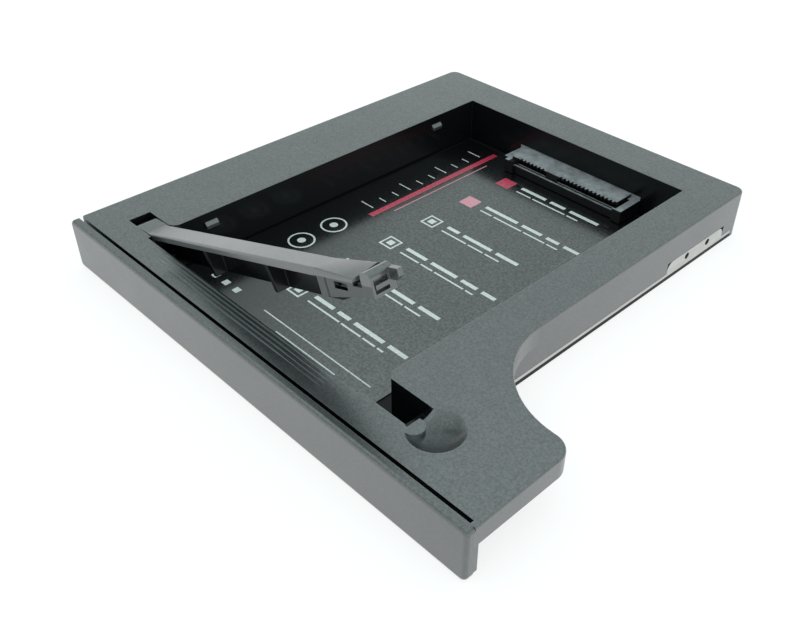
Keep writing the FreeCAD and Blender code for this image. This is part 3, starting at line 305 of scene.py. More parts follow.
def moulded_abs(name, body_colour, hollows, satin=(), shaded_faces=(), dish=None, ridges=None, turn=None,
                gloss=0.28, coat_index=2.4, pitted=1.0):
    """Moulded black ABS: spark-eroded outside, so its sheen reads as satin grey; smoother in the hollows,
    which get painted shade.
    """
    look = group("finish")
    made, tree, shader, spot = new_material(name)
    if turn:
        # The boxes of a piece that stands lifted are given as it lies closed.
        pivot, angle = turn
        spot = add(tree, "VectorRotate", {"Vector": spot, "Center": pivot, "Angle": angle},
                   rotation_type="Y_AXIS").outputs[0]
    # The hollows are smoother and get painted shade: black colour and no sheen.
    polished_and_shaded = boxes(tree, spot, hollows)
    if satin:
        polished_and_shaded = add(tree, "Math", {0: polished_and_shaded, 1: boxes(tree, spot, satin)}, operation="SUBTRACT",
                       use_clamp=True).outputs[0]

    # Spark-erosion pits are about 0.1 mm wide; they are drawn wider so that they show in the picture.
    # They show most on the faces that look up.
    pits = add(tree, "TexNoise", {"Vector": spot, "Scale": per(look.grain / MM), "Detail": 3.0,
                                  "Roughness": 0.6}).outputs[0]
    flat = add(tree, "NewGeometry").outputs["Normal"]
    up = add(tree, "SeparateXYZ", {0: flat}).outputs[2]
    depth = add(tree, "MapRange", {0: up, **LOOKS_UP, 3: 0.3 * pitted, 4: pitted}).outputs[0]
    pits = add(tree, "Mix", {0: depth, 2: MID_NOISE, 3: pits}).outputs[0]
    tone = add(tree, "MapRange", {0: pits, **NARROW, 3: 0.6, 4: 1.4}).outputs[0]
    grey = add(tree, "Mix", {0: 1.0, 6: rgba(body_colour), 7: tone}, **TINT).outputs[2]
    # Painted shade: the hollows are drawn black.
    grey = add(tree, "Mix", {0: polished_and_shaded, 6: grey, 7: rgba(look.painted_shade_black)}, **COLOUR).outputs[2]

    # Painted shade, drawn as lost sheen: in a dish with a softly rounded rim, on the faces given as shaded
    # and in the core of the crisp grip ridges, whose colour is darkened too.
    sheen_taken_by_shade = [polished_and_shaded]
    radius = look.edge_radius
    if dish:
        shade_share = dished(tree, spot, dish)
        radius = add(tree, "MapRange", {0: shade_share, 1: 0.0, 2: RIM_LOSS, 3: radius,
                                        4: RIM_ROUND * radius}).outputs[0]
        sheen_taken_by_shade.append(shade_share)
    if shaded_faces:
        faces = boxes(tree, spot, shaded_faces)
        shade_share = add(tree, "Math", {0: faces, 1: FACE_SHADE}, operation="MULTIPLY").outputs[0]
        sheen_taken_by_shade.append(shade_share)
    if ridges:
        zone, shade_share, line = ridged(tree, spot, up, ridges)
        radius = add(tree, "Mix", {0: zone, 2: radius, 3: RIDGE_ROUND * look.edge_radius}).outputs[0]
        # Painted shade: the colour in the ridges' core is darkened too.
        grey = add(tree, "Mix", {0: shade_share, 6: grey, 7: rgba(look.painted_shade_black)}, **COLOUR).outputs[2]
        sheen_taken_by_shade.append(shade_share)

    # Edges are drawn paler where the rounded normal leaves the face's own, partly as rubbed wear and partly
    # as a painted highlight; each ridge's line is a painted highlight.
    rounded = add(tree, "Bevel", {"Radius": radius}, samples=6).outputs[0]
    agree = add(tree, "VectorMath", {0: rounded, 1: flat}, operation="DOT_PRODUCT").outputs["Value"]
    worn_and_lit = add(tree, "MapRange", {0: agree, **EDGE_WEAR_AND_HIGHLIGHT}).outputs[0]
    painted_highlight = add(tree, "Mix", {0: polished_and_shaded, 6: rgba(look.edge_wear_and_highlight_grey), 7: rgba(look.shaded_edge_wear_and_highlight)},
                 **COLOUR).outputs[2]
    grey = add(tree, "Mix", {0: worn_and_lit, 6: grey, 7: painted_highlight}, **COLOUR).outputs[2]
    # Painted highlight: a thin pale line along each ridge's near edge.
    if ridges:
        grey = add(tree, "Mix", {0: line, 6: grey, 7: rgba(look.edge_wear_and_highlight_grey)}, **COLOUR).outputs[2]

    # The sheen of the eroded skin breaks up over the pits and is taken away as painted shade in the hollows
    # and the other shaded places.
    sheen = add(tree, "MapRange", {0: pits, **NARROW, 3: 0.64, 4: 0.94}).outputs[0]
    skin = add(tree, "Mix", {0: any_of(tree, sheen_taken_by_shade), 2: sheen, 3: 0.0}).outputs[0]
    cloud = add(tree, "TexNoise", {"Vector": spot, "Scale": per(CLOUD), "Detail": 3.0}).outputs[0]
    rough = add(tree, "MapRange", {0: cloud, **SPREAD, 3: 0.36, 4: 0.46}).outputs[0]
    rough = add(tree, "Mix", {0: polished_and_shaded, 2: rough, 3: 0.22}).outputs[0]
    relief = add(tree, "MapRange", {0: polished_and_shaded, 1: 0.0, 2: 1.0, 3: 0.35, 4: 0.03}).outputs[0]
    bump = add(tree, "Bump", {"Strength": relief, "Distance": PIT_DEPTH, "Height": pits,
                              "Normal": rounded}).outputs[0]
    fill(tree, shader, {"Base Color": grey, "Roughness": rough, "Coat Weight": skin, "Normal": bump,
                        "IOR": ABS_IOR, "Specular IOR Level": 0.3, "Coat Roughness": gloss,
                        "Coat IOR": coat_index})
    return made


# Steel: widths in millimetres of its streaks and spangles, the streaks' depth, and the soft edge of its low
# dark band.
STREAK, SPANGLE = 0.5, 2.5
STREAK_DEPTH = 0.02 * MM
DARK_BAND_EDGE = 0.04 * MM


def plated_steel(name, metal_colour, dark_below=None):
    """Plated steel: bright and faintly streaked by the rolls, drawn dark and not metallic below a height if
    given.
    """
    made, tree, shader, spot = new_material(name)
    drawn = add(tree, "Mapping", {"Vector": spot, "Scale": (1.0, 0.05, 1.0)}).outputs[0]
    streaks = add(tree, "TexNoise", {"Vector": drawn, "Scale": per(STREAK), "Detail": 4.0}).outputs[0]
    spangle = add(tree, "TexVoronoi", {"Vector": spot, "Scale": per(SPANGLE)}).outputs["Distance"]
    tone = add(tree, "MapRange", {0: streaks, **SPREAD, 3: 0.86, 4: 1.04}).outputs[0]
    metal = add(tree, "Mix", {0: 1.0, 6: rgba(metal_colour), 7: tone}, **TINT).outputs[2]
    metallic = 1.0
    rough = add(tree, "MapRange", {0: spangle, 1: 0.0, 2: 0.6, 3: 0.26, 4: 0.4}).outputs[0]
    # Below the given height the steel is drawn dark and not metallic.
    if dark_below:
        height = add(tree, "SeparateXYZ", {0: spot}).outputs[2]
        low, high = dark_below - DARK_BAND_EDGE, dark_below + DARK_BAND_EDGE
        dark_band = add(tree, "MapRange", {0: height, 1: high, 2: low, **MASK}).outputs[0]
        dark = rgba(group("finish").low_band_dark)
        metal = add(tree, "Mix", {0: dark_band, 6: metal, 7: dark}, **COLOUR).outputs[2]
        metallic = add(tree, "Math", {0: 1.0, 1: dark_band}, operation="SUBTRACT").outputs[0]
        rough = add(tree, "Mix", {0: dark_band, 2: rough, 3: 0.5}).outputs[0]
    bump = add(tree, "Bump", {"Strength": 0.12, "Distance": STREAK_DEPTH, "Height": streaks}).outputs[0]
    fill(tree, shader, {"Base Color": metal, "Metallic": metallic, "Roughness": rough, "Normal": bump,
                        "Specular IOR Level": 0.2})
    return made


# Film: refractive indices of it and of its clear gloss, widths in millimetres and depths of its patterns.
FILM_IOR, GLOSS_IOR = 1.5, 1.72
FIBRE, WAVE = 0.6, 9.0
FIBRE_DEPTH, WAVE_DEPTH = 0.02 * MM, 0.04 * MM

# The way across the label along which the painted shade on its clear gloss lifts, and where along the front
# it is deepest and gone.
SHADE_SLANT = Vector((1.0, 0.7, 0.0))
SHADE_DEEPEST_AT, SHADE_GONE_AT = 46, 86


def label_film(name, ink_colour, gloss):
    """Laminated printed film: deep flat ink under a clear gloss that mirrors the bay's walls softly."""
    made, tree, shader, spot = new_material(name)
    fibre = add(tree, "TexNoise", {"Vector": spot, "Scale": per(FIBRE), "Detail": 3.0}).outputs[0]
    wave = add(tree, "TexNoise", {"Vector": spot, "Scale": per(WAVE), "Detail": 1.0}).outputs[0]
    tone = add(tree, "MapRange", {0: fibre, **SPREAD, 3: 0.88, 4: 1.1}).outputs[0]
    ink = add(tree, "Mix", {0: 1.0, 6: rgba(ink_colour), 7: tone}, **TINT).outputs[2]
    rough = add(tree, "MapRange", {0: fibre, **SPREAD, 3: gloss - 0.04, 4: gloss + 0.05}).outputs[0]
    # Painted shade: the clear gloss is taken away towards the front left corner; it also breaks up over the
    # fibres.
    slant = add(tree, "VectorMath", {0: spot, 1: SHADE_SLANT}, operation="DOT_PRODUCT").outputs["Value"]
    start, end = (place(x, 0, 0).dot(SHADE_SLANT) for x in (SHADE_DEEPEST_AT, SHADE_GONE_AT))
    shade_fade = add(tree, "MapRange", {0: slant, 1: start, 2: end, 3: 0.05, 4: 1.0}).outputs[0]
    broken = add(tree, "MapRange", {0: fibre, **NARROW, 3: 0.45, 4: 1.25}).outputs[0]
    clear = add(tree, "Math", {0: shade_fade, 1: broken}, operation="MULTIPLY").outputs[0]
    swell = add(tree, "Bump", {"Strength": 0.25, "Distance": WAVE_DEPTH, "Height": wave}).outputs[0]
    skin = add(tree, "Bump", {"Strength": 0.08, "Distance": FIBRE_DEPTH, "Height": fibre,
                              "Normal": swell}).outputs[0]
    fill(tree, shader, {"Base Color": ink, "Roughness": rough, "Normal": skin, "Coat Weight": clear,
                        "IOR": FILM_IOR, "Specular IOR Level": 0.9, "Coat Roughness": gloss,
                        "Coat IOR": GLOSS_IOR})
    return made


# Nylon: its refractive index, widths in millimetres of the mottle in its painted highlight and of its glass
# fibres, and the fibres' depth.
NYLON_IOR = 1.53
HIGHLIGHT_MOTTLE, GLASS_FIBRE = 2.2, 0.4
GLASS_DEPTH = 0.03 * MM


def filled_nylon(name, body_colour, highlighted=()):
    """Glass-filled nylon: dull black, with a mottled painted highlight on the faces given."""
    made, tree, shader, spot = new_material(name)
    body = rgba(body_colour)
    # Painted highlight: the given faces are drawn paler, mottled.
    if highlighted:
        highlight_mottle = add(tree, "TexNoise", {"Vector": spot, "Scale": per(HIGHLIGHT_MOTTLE), "Detail": 5.0}).outputs[0]
        painted_highlight = add(tree, "MapRange", {0: highlight_mottle, 1: 0.3, 2: 0.6, 3: 0.58, 4: 1.0}).outputs[0]
        faces = boxes(tree, spot, highlighted)
        share = add(tree, "Math", {0: faces, 1: painted_highlight}, operation="MULTIPLY").outputs[0]
        pale = rgba(group("finish").nylon_highlight)
        body = add(tree, "Mix", {0: share, 6: body, 7: pale}, **COLOUR).outputs[2]
    fibre = add(tree, "TexNoise", {"Vector": spot, "Scale": per(GLASS_FIBRE), "Detail": 4.0}).outputs[0]
    speck = add(tree, "MapRange", {0: fibre, **SPREAD, 3: 0.85, 4: 1.15}).outputs[0]
    body = add(tree, "Mix", {0: 1.0, 6: body, 7: speck}, **TINT).outputs[2]
    rough = add(tree, "MapRange", {0: fibre, **SPREAD, 3: 0.42, 4: 0.56}).outputs[0]
    bump = add(tree, "Bump", {"Strength": 0.2, "Distance": GLASS_DEPTH, "Height": fibre}).outputs[0]
    fill(tree, shader, {"Base Color": body, "Roughness": rough, "Normal": bump, "IOR": NYLON_IOR,
                        "Specular IOR Level": 0.25})
    return made


# Width in millimetres of the grain drawn along a contact's blade.
BLADE_GRAIN = 0.15


def gold_flash(name, metal_colour):
    """Gold flash on stamped bronze: warm, bright, with a fine drawn grain along the blade."""
    made, tree, shader, spot = new_material(name)
    drawn = add(tree, "Mapping", {"Vector": spot, "Scale": (1.0, 0.08, 1.0)}).outputs[0]
    grain = add(tree, "TexNoise", {"Vector": drawn, "Scale": per(BLADE_GRAIN), "Detail": 2.0}).outputs[0]
    tone = add(tree, "MapRange", {0: grain, **SPREAD, 3: 0.85, 4: 1.05}).outputs[0]
    metal = add(tree, "Mix", {0: 1.0, 6: rgba(metal_colour), 7: tone}, **TINT).outputs[2]
    rough = add(tree, "MapRange", {0: grain, **SPREAD, 3: 0.2, 4: 0.34}).outputs[0]
    fill(tree, shader, {"Base Color": metal, "Metallic": 1.0, "Roughness": rough})
    return made


# Board: its refractive index, widths in millimetres of its weave and patches, and the weave's depth.
LAMINATE_IOR = 1.55
WEAVE, PATCH = 6.0, 4.0
WEAVE_DEPTH = 0.02 * MM


def masked_laminate(name, mask_colour):
    """Glass laminate under solder mask: glossy green with the weave just showing through."""
    made, tree, shader, spot = new_material(name)
    weave = add(tree, "TexWave", {"Vector": spot, "Scale": per(WEAVE), "Distortion": 1.5,
                                  "Detail": 2.0}).outputs["Fac"]
    patch = add(tree, "TexNoise", {"Vector": spot, "Scale": per(PATCH), "Detail": 2.0}).outputs[0]
    tone = add(tree, "MapRange", {0: weave, 1: 0.0, 2: 1.0, 3: 0.9, 4: 1.08}).outputs[0]
    body = add(tree, "Mix", {0: 1.0, 6: rgba(mask_colour), 7: tone}, **TINT).outputs[2]
    rough = add(tree, "MapRange", {0: patch, **SPREAD, 3: 0.28, 4: 0.4}).outputs[0]
    bump = add(tree, "Bump", {"Strength": 0.1, "Distance": WEAVE_DEPTH, "Height": weave}).outputs[0]
    fill(tree, shader, {"Base Color": body, "Roughness": rough, "Normal": bump, "IOR": LAMINATE_IOR})
    return made


def dress(node, material):
    """Puts a material in every slot of a CAD piece."""
    slots = NODES[node].data.materials
    if not slots:
        slots.append(material)
    for i in range(len(slots)):
        slots[i] = material


# Smooth moulded hollows of the frame, which get painted shade, each a box given by two corners. The groove
# lies behind the bezel.
BELOW_RIM = FRAME_TOP - 0.12
BAY = (place(19.05, 6.15, -0.1), place(91.15, 113.95, BELOW_RIM))
HINGE_POCKET = (place(9.45, 6.95, 5.4), place(21.2, 12.65, BELOW_RIM))
NOTCH = (place(89.0, 6.95, -0.1), place(103.85, 15.05, BELOW_RIM))
GROOVE = (place(-1.0, -0.05, -0.1), place(126.7, 0.05, BELOW_RIM))

# The bezel's rear face, which only shows in the groove and gets painted shade there.
BEZEL_REAR = (place(-1.0, -0.95, -0.1), place(126.7, 4.0, FRAME_TOP))

# The two retaining nubs on the bay's left wall keep the satin skin and are left out of the bay's painted
# shade.
NUB_STARTS, NUB_LENGTH = (20.7, 96.7), 4.2
NUBS = [(place(19.15, y, 8.7), place(20.0, y + NUB_LENGTH, 10.8)) for y in NUB_STARTS]

# The finger scoop beside the notch, which gets painted shade: its middle, its radius and the top of the
# catch that stands in it and is kept out of the shade.
CATCH_TOP = (place(102.2, 5.6, 12.4), place(106.8, 10.2, 12.6))
SCOOP = (place(108.0, 10.0, FRAME_TOP), 5.7 * MM, CATCH_TOP)

# The grip ridges: their stretch of the ledge, its core of painted shade, the first one's near edge and their
# pitch.
RIDGE_STRETCH = (place(28, 2.3, 12), place(85, 6.3, 14))
RIDGE_SHADE_CORE = (place(36, 2.0, 2), place(82, 6.6, 23))
RIDGES = (RIDGE_STRETCH, RIDGE_SHADE_CORE, place(0, 2.6, 0).y, 1.0 * MM)

# The lock bar's hinge, and how far it stands lifted.
HINGE = frame["joints"][0]
PIVOT = Vector(HINGE["pos_m"])
LIFT = -math.radians(HINGE["range_deg"][0])


def on_bar(x, y, z):
    """A place in millimetres from the lock bar's hinge, as the bar lies closed."""
    return PIVOT + Vector((x, y, z)) * MM


# Painted shade on the bar: the hollow under its flange, the front of its latch end, and a slit in that front
# which is only painted.
UNDER_FLANGE = (on_bar(5.5, -2.5, -8.0), on_bar(82.0, 2.2, 0.42))
LATCH_FRONT_SHADE = (on_bar(70.0, -2.7, -8.0), on_bar(87.0, -2.5, 0.3))
PAINTED_SLIT = (on_bar(73.1, -2.7, -8.0), on_bar(73.8, -2.5, 0.3))

# The drive receptacle's lowest corner, and its size in millimetres.
RECEPTACLE, FAR_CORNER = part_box("drive_receptacle")
WIDE, DEEP, TALL = (FAR_CORNER - RECEPTACLE) / MM


def on_receptacle(x, y, z):
    """A place in millimetres from the drive receptacle's lowest corner."""
    return RECEPTACLE + Vector((x, y, z)) * MM


# Faces of the receptacle that get a painted highlight: the roof, the two end steps and the two edges of the
# sill.
STEP_WIDTH = 2.75
SILL_START, SILL_END = 4.2, WIDE - 2.8
ROOF = (on_receptacle(-1, -1, TALL - 0.1), on_receptacle(WIDE + 1, DEEP + 1, TALL + 1))
LEFT_STEP = (on_receptacle(-1, -1, TALL - 1), on_receptacle(STEP_WIDTH, DEEP, TALL))
RIGHT_STEP = (on_receptacle(WIDE - STEP_WIDTH, -1, TALL - 1), on_receptacle(WIDE + 1, DEEP, TALL))
SILL_FRONT = (on_receptacle(SILL_START, 0.5, TALL - 2.25), on_receptacle(SILL_END, 1.2, TALL - 1.9))
SILL_REAR = (on_receptacle(SILL_START, 1.75, TALL - 2.1), on_receptacle(SILL_END, 2.15, TALL - 1.9))

# Height up to which the steel floor is drawn dark and not metallic, in the row frame.
DARK_BAND_TOP = 1.45 * MM


class CADDY_OT_frame(bpy.types.Operator):
    """Finish the moulded frame: satin grey outside; smoother in the bay, pocket and notch, which get painted
    shade, black and without sheen
    """

    bl_idname = "caddy.frame"
    bl_label = "Frame"

    def execute(self, context):
        plastic = moulded_abs("ABS spark-eroded frame", group("finish").frame_black,
                              (BAY, HINGE_POCKET, NOTCH, GROOVE), satin=NUBS, dish=SCOOP, ridges=RIDGES)
        dress("frame", plastic)
        return {"FINISHED"}


class CADDY_OT_bezel(bpy.types.Operator):
    """Finish the clipped front bezel"""

    bl_idname = "caddy.bezel"
    bl_label = "Bezel"

    def execute(self, context):
        plastic = moulded_abs("ABS spark-eroded bezel", group("finish").bezel_black, (BEZEL_REAR,),
                              coat_index=2.25)
        dress("bezel", plastic)
        return {"FINISHED"}


class CADDY_OT_bar(bpy.types.Operator):
    """Finish the hinged lock bar"""

    bl_idname = "caddy.bar"
    bl_label = "Lock bar"

    def execute(self, context):
        # The bar gets painted shade under its flange, on the front of its latch end and in a painted slit.
        plastic = moulded_abs("ABS spark-eroded lock bar", group("finish").bar_black,
                              (UNDER_FLANGE, PAINTED_SLIT), shaded_faces=(LATCH_FRONT_SHADE,), turn=(PIVOT, LIFT),
                              gloss=0.24, coat_index=2.1, pitted=0.35)
        dress("lock_bar", plastic)
        return {"FINISHED"}


class CADDY_OT_steel(bpy.types.Operator):
    """Finish the steel floor and the screws"""

    bl_idname = "caddy.steel"
    bl_label = "Steel floor and screws"

    def execute(self, context):
        look = group("finish")
        dress("bottom_plate", plated_steel("Steel zinc-plated floor", look.zinc, DARK_BAND_TOP))
        screw = plated_steel("Steel nickel-plated screw", look.nickel)
        dress("base_screws", screw)
        dress("board_screws", screw)
        return {"FINISHED"}


class CADDY_OT_connectors(bpy.types.Operator):
    """Finish the connectors, their contacts and the board"""

    bl_idname = "caddy.connectors"
    bl_label = "Connectors and board"

    def execute(self, context):
        look = group("finish")
        # Painted highlight on the receptacle's roof, end steps and sill edges.
        painted_highlight = (ROOF, LEFT_STEP, RIGHT_STEP, SILL_FRONT, SILL_REAR)
        dress("drive_receptacle", filled_nylon("Nylon moulded receptacle", look.nylon, painted_highlight))
        dress("host_plug", filled_nylon("Nylon moulded plug", look.nylon))
        gilt = gold_flash("Bronze gold-flashed contact", look.gilt)
        dress("receptacle_contacts", gilt)
        dress("host_contacts", gilt)
        dress("circuit_board", masked_laminate("Laminate solder-masked board", look.mask_green))
        return {"FINISHED"}


class PrintSheet:
    """Flat ink shapes of one colour, gathered into one mesh on the label."""

    def __init__(self):
        self.shapes = []

    def polygon(self, points):
        """One filled outline, counter-clockwise, in millimetres from the caddy's corner."""
        self.shapes.append([points])

    def bar(self, x0, y0, x1, y1):
        """One rectangle."""
        self.polygon([(x0, y0), (x1, y0), (x1, y1), (x0, y1)])

    def line(self, x0, x1, y, width):
        """One straight line across the caddy."""
        self.bar(x0, y - width / 2, x1, y + width / 2)

    def stripe(self, x, y0, y1, width):
        """One straight line along the depth."""
        self.bar(x - width / 2, y0, x + width / 2, y1)

    def band(self, outer, inner):
        """The strip between two outlines of equal point count."""
        self.shapes.append([outer, inner])

    def make(self, name, level, thickness, material):
        """Builds the mesh as thin closed slabs that rest on the label."""
        build = bmesh.new()
        for shape in self.shapes:
            low = [[build.verts.new(place(x, y, level)) for x, y in line] for line in shape]
            high = [[build.verts.new(place(x, y, level + thickness)) for x, y in line] for line in shape]
            for k, line in enumerate(shape):
                count = len(line)
                for i in range(count):
                    j = (i + 1) % count
                    wall = [low[k][i], low[k][j], high[k][j], high[k][i]]
                    build.faces.new(wall if k == 0 else wall[::-1])
            if len(shape) == 1:
                build.faces.new(high[0])
                build.faces.new(low[0][::-1])
            else:
                for i in range(len(shape[0])):
                    j = (i + 1) % len(shape[0])
                    build.faces.new([high[0][i], high[0][j], high[1][j], high[1][i]])
                    build.faces.new([low[0][j], low[0][i], low[1][i], low[1][j]])
        mesh = bpy.data.meshes.new(name)
        build.to_mesh(mesh)
        build.free()
        mesh.materials.append(material)
        made = bpy.data.objects.new(name, mesh)
        bpy.context.scene.collection.objects.link(made)
        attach(made, "tray")
        return made


# Lengths of the dashes in a plain row, in millimetres, used over and over.
DASHES = (8.5, 5.0, 11.0, 6.5, 4.0, 9.5, 7.0)


def dash_row(sheet, x0, x1, y, tall, turn):
    """A row of plain dashes from x0 to x1, starting at one of the lengths above."""
    gap, shortest = tall * 1.4, tall * 2
    at = x0
    while at < x1 - shortest:
        end = min(at + DASHES[turn % len(DASHES)], x1)
        sheet.line(at, end, y, tall)
        at = end + gap
        turn += 1


def square(x, y, half):
    """The outline of a square about a middle."""
    return [(x - half, y - half), (x + half, y - half), (x + half, y + half), (x - half, y + half)]


CIRCLE_POINTS = 40


def circle(x, y, radius):
    """The outline of a circle about a middle."""
    turns = [math.tau * i / CIRCLE_POINTS for i in range(CIRCLE_POINTS)]
    return [(x + radius * math.cos(t), y + radius * math.sin(t)) for t in turns]


# The print is laid out in millimetres from the caddy's front left corner.
# Rows beside the column of square marks: place along the depth and far end across the caddy.
ROWS = ((100.5, 76.0), (86.0, 81.0), (71.5, 74.5), (57.0, 79.5), (42.5, 77.0), (28.0, 80.5))
ROW_START = 50.0
FINE_ENDS_EARLIER = 5.0
MARKS = 45.2

# The stripe along the depth, the thin one beside it, and the ticks at its other side.
STRIPE, STRIPE_START, STRIPE_END = 32.0, 62.0, 110.6
THREAD, THREAD_START, THREAD_END = 34.6, 68.0, 104.0
TICKS_END, FIRST_TICK, TICK_PITCH, TICK_COUNT = 29.6, 65.0, 4.6, 10
LONG_TICK, SHORT_TICK, LONG_EVERY = 4.6, 2.6, 3

# The column of rounds, the row of small squares, and the closing lines: both ends and place along the depth.
ROUNDS = 29.0
ROUND_PLACES = (31.0, 41.5, 52.0)
SQUARES = (27.0, 31.2, 35.4)
SQUARES_ROW = 17.4
CLOSING_LINES = ((46.0, 82.0, 17.4), (54.0, 74.0, 14.6))

# Roughness of the film's clear gloss and of the ink that lies on it.
FILM_GLOSS, INK_GLOSS = 0.17, 0.3


class CADDY_OT_label(bpy.types.Operator):
    """Finish the floor label and lay its plain print: rows of dashes, marks, a stripe and a scale"""

    bl_idname = "caddy.label"
    bl_label = "Label"

    def execute(self, context):
        look, sizes = group("finish"), group("print")
        dress("floor_label", label_film("Film laminated black ground", look.film_black, FILM_GLOSS))
        white, crimson, rose = PrintSheet(), PrintSheet(), PrintSheet()
        bold, fine, mark = sizes.bold / MM, sizes.fine / MM, sizes.mark / MM
        stroke, rule = sizes.stroke / MM, sizes.rule / MM
        outline, round_radius = stroke * 1.4, mark * 1.6
        rise, drop = bold * 0.9, bold * 1.1

        # Column of square marks with a bold and a fine row of dashes beside each, no two begun alike.
        for i, (y, end) in enumerate(ROWS):
            dash_row(white, ROW_START, end, y + rise, bold, i * 2)
            dash_row(white, ROW_START, end - FINE_ENDS_EARLIER, y - drop, fine, i * 3 + 1)
        crimson.polygon(square(MARKS, ROWS[0][0], mark))
        rose.polygon(square(MARKS, ROWS[1][0], mark))
        for y, _ in ROWS[2:]:
            white.band(square(MARKS, y, mark), square(MARKS, y, mark - outline))
            white.polygon(square(MARKS, y, mark * 0.42))

        # Crimson stripe along the depth with a thin rose one beside it and a scale of white ticks.
        crimson.stripe(STRIPE, STRIPE_START, STRIPE_END, rule)
        rose.stripe(THREAD, THREAD_START, THREAD_END, stroke)
        for i in range(TICK_COUNT):
            reach = LONG_TICK if i % LONG_EVERY == 0 else SHORT_TICK
            white.line(TICKS_END - reach, TICKS_END, FIRST_TICK + TICK_PITCH * i, stroke)

        # Three rounds and three small squares at the front left, and two closing lines.
        for y in ROUND_PLACES:
            white.band(circle(ROUNDS, y, round_radius), circle(ROUNDS, y, round_radius - outline))
            white.polygon(circle(ROUNDS, y, mark * 0.5))
        for x in SQUARES:
            white.polygon(square(x, SQUARES_ROW, mark * 0.4))
        for start, end, y in CLOSING_LINES:
            white.line(start, end, y, stroke)

        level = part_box("floor_label")[1].z / MM
        ink = sizes.ink / MM
        for sheet, piece, material, tint in (
                (white, "label_print_white", "Ink screen-printed white", look.print_white),
                (crimson, "label_print_crimson", "Ink screen-printed crimson", look.print_crimson),
                (rose, "label_print_rose", "Ink screen-printed rose", look.print_rose)):
            sheet.make(piece, level, ink, label_film(material, tint, INK_GLOSS))
        return {"FINISHED"}


WHITE = (1.0, 1.0, 1.0, 1.0)

# Gap between the caddy and the paper under it, the paper's grey, and the strength of its own white.
FLOOR_GAP = 0.05 * MM
PAPER_GREY = (0.9, 0.9, 0.9, 1.0)
PAPER_GLOW = 1.13

# Upward parts of a direction between which the light falls off above the walls and rises to the ceiling.
WALL_TOP = (0.1, 0.42)
CEILING_RIM = (0.5, 0.78)

# Place and sides of the soft lamp, in metres.
LAMP_PLACE = Vector((1.35, -0.45, 0.55))
LAMP_SIDES = (1.6, 1.0)

# The camera as fitted to the photograph: its place, the ways ahead and up, and the shift of its lens.
EYE = Vector((0.1232, -0.13328, 0.12553))
AHEAD = Vector((-0.5472, 0.5528, -0.6285)).normalized()
ABOVE = Vector((-0.4548, 0.434, 0.7777))
SHIFT = (-0.0378, 0.021)

# Width of its sensor in millimetres, and the nearest that it sees in metres.
SENSOR_WIDTH = 36
NEAREST = 0.01


def coated_paper(name, own_white):
    """Coated white paper: part of its white is its own, so that the caddy's shadow on it stays light."""
    made = bpy.data.materials.new(name)
    tree = empty_tree(made)
    ray = add(tree, "LightPath").outputs
    seen = any_of(tree, [ray["Is Camera Ray"], ray["Is Glossy Ray"], ray["Is Transmission Ray"]])
    share = add(tree, "Math", {0: seen, 1: own_white}, operation="MULTIPLY").outputs[0]
    shade = add(tree, "BsdfDiffuse", {"Color": PAPER_GREY}).outputs[0]
    glow = add(tree, "Emission", {"Color": WHITE, "Strength": PAPER_GLOW}).outputs[0]
    both = add(tree, "MixShader", {0: share, 1: shade, 2: glow}).outputs[0]
    add(tree, "OutputMaterial", {"Surface": both})
    return made


def lay_floor(scene, stage):
    """A square sheet of paper just under the caddy."""
    half = stage.floor_size / 2
    mesh = bpy.data.meshes.new("floor")
    corners = [(-half, -half, 0), (half, -half, 0), (half, half, 0), (-half, half, 0)]
    mesh.from_pydata(corners, [], [(0, 1, 2, 3)])
    mesh.materials.append(coated_paper("Paper coated white", stage.floor_glow))
    floor = bpy.data.objects.new("floor", mesh)
    floor.location.z = CAD_BOX[0].z - FLOOR_GAP
    scene.collection.objects.link(floor)


def light_room(scene, stage):
    """A room that is white round the floor, dims above the walls and is pale again overhead."""
    world = bpy.data.worlds.new("soft room")
    tree = empty_tree(world)
    direction = add(tree, "TexCoord").outputs["Generated"]
    up = add(tree, "SeparateXYZ", {0: direction}).outputs[2]
    shoulder, ceiling = (add(tree, "MapRange", {0: up, 1: low, 2: high, **MASK},
                             interpolation_type="SMOOTHSTEP").outputs[0]
                         for low, high in (WALL_TOP, CEILING_RIM))
    level = add(tree, "Mix", {0: shoulder, 2: stage.horizon, 3: stage.shoulder}).outputs[0]
    level = add(tree, "Mix", {0: ceiling, 2: level, 3: stage.zenith}).outputs[0]
    tint = add(tree, "Mix", {0: shoulder, 6: WHITE, 7: rgba(stage.ceiling)}, **COLOUR).outputs[2]
    room = add(tree, "Background", {"Color": tint, "Strength": level}).outputs[0]
    add(tree, "OutputWorld", {"Surface": room})
    scene.world = world


def hang_lamp(scene, stage):
    """A large soft lamp at the right that faces the caddy and isn't mirrored in it."""
    lamp = bpy.data.lights.new("soft lamp", "AREA")
    lamp.shape = "RECTANGLE"
    lamp.size, lamp.size_y = LAMP_SIDES
    lamp.energy = stage.key
    key = bpy.data.objects.new("soft lamp", lamp)
    key.location = LAMP_PLACE
    key.rotation_euler = (-LAMP_PLACE).to_track_quat("-Z", "Y").to_euler()
    key.visible_glossy = False
    scene.collection.objects.link(key)


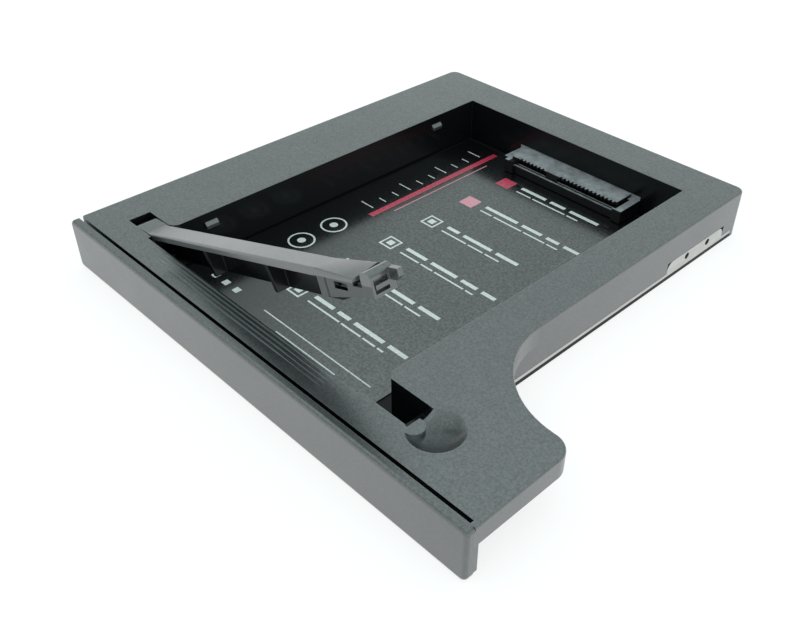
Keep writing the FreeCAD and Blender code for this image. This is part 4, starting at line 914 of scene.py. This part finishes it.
def stand_camera(scene, stage):
    """A camera that stands where the photograph was taken from."""
    camera = bpy.data.cameras.new("camera")
    camera.sensor_width = SENSOR_WIDTH
    camera.lens = stage.lens
    camera.shift_x, camera.shift_y = SHIFT
    camera.clip_start = NEAREST
    eye = bpy.data.objects.new("camera", camera)
    side = AHEAD.cross(ABOVE).normalized()
    turn = Matrix((side, side.cross(AHEAD), -AHEAD)).transposed().to_4x4()
    eye.matrix_world = Matrix.Translation(EYE) @ turn
    scene.collection.objects.link(eye)
    scene.camera = eye


class CADDY_OT_stage(bpy.types.Operator):
    """Set the white floor, the soft light and the camera"""

    bl_idname = "caddy.stage"
    bl_label = "Stage"

    def execute(self, context):
        context.scene.view_settings.view_transform = "Standard"
        for build in (lay_floor, light_room, hang_lamp, stand_camera):
            build(context.scene, group("stage"))
        return {"FINISHED"}


OPERATORS = (CADDY_OT_frame, CADDY_OT_bezel, CADDY_OT_bar, CADDY_OT_steel, CADDY_OT_connectors,
             CADDY_OT_label, CADDY_OT_stage)
GROUPS = {"finish": CaddyFinish, "print": CaddyPrint, "stage": CaddyStage}


class CADDY_PT_sidebar(bpy.types.Panel):
    """The caddy's pieces and settings"""

    bl_idname = "CADDY_PT_sidebar"
    bl_label = "Drive caddy"
    bl_space_type = "VIEW_3D"
    bl_region_type = "UI"
    bl_category = "Caddy"

    def draw(self, context):
        column = self.layout.column()
        for operator in OPERATORS:
            column.operator(operator.bl_idname)
        for name in GROUPS:
            for prop in group(name).bl_rna.properties:
                if prop.identifier not in ("rna_type", "name"):
                    column.prop(group(name), prop.identifier)


CLASSES = (*GROUPS.values(), *OPERATORS, CADDY_PT_sidebar)


def register():
    """Adds the classes and the settings."""
    for cls in CLASSES:
        bpy.utils.register_class(cls)
    for name, cls in GROUPS.items():
        setattr(bpy.types.Scene, "caddy_" + name, PointerProperty(type=cls))


def unregister():
    """Takes the settings and the classes away."""
    for name in GROUPS:
        delattr(bpy.types.Scene, "caddy_" + name)
    for cls in reversed(CLASSES):
        bpy.utils.unregister_class(cls)


def main():
    """Runs every operator in order."""
    register()
    for operator in OPERATORS:
        category, name = operator.bl_idname.split(".")
        getattr(getattr(bpy.ops, category), name)()


if __name__ == "__main__":
    main()
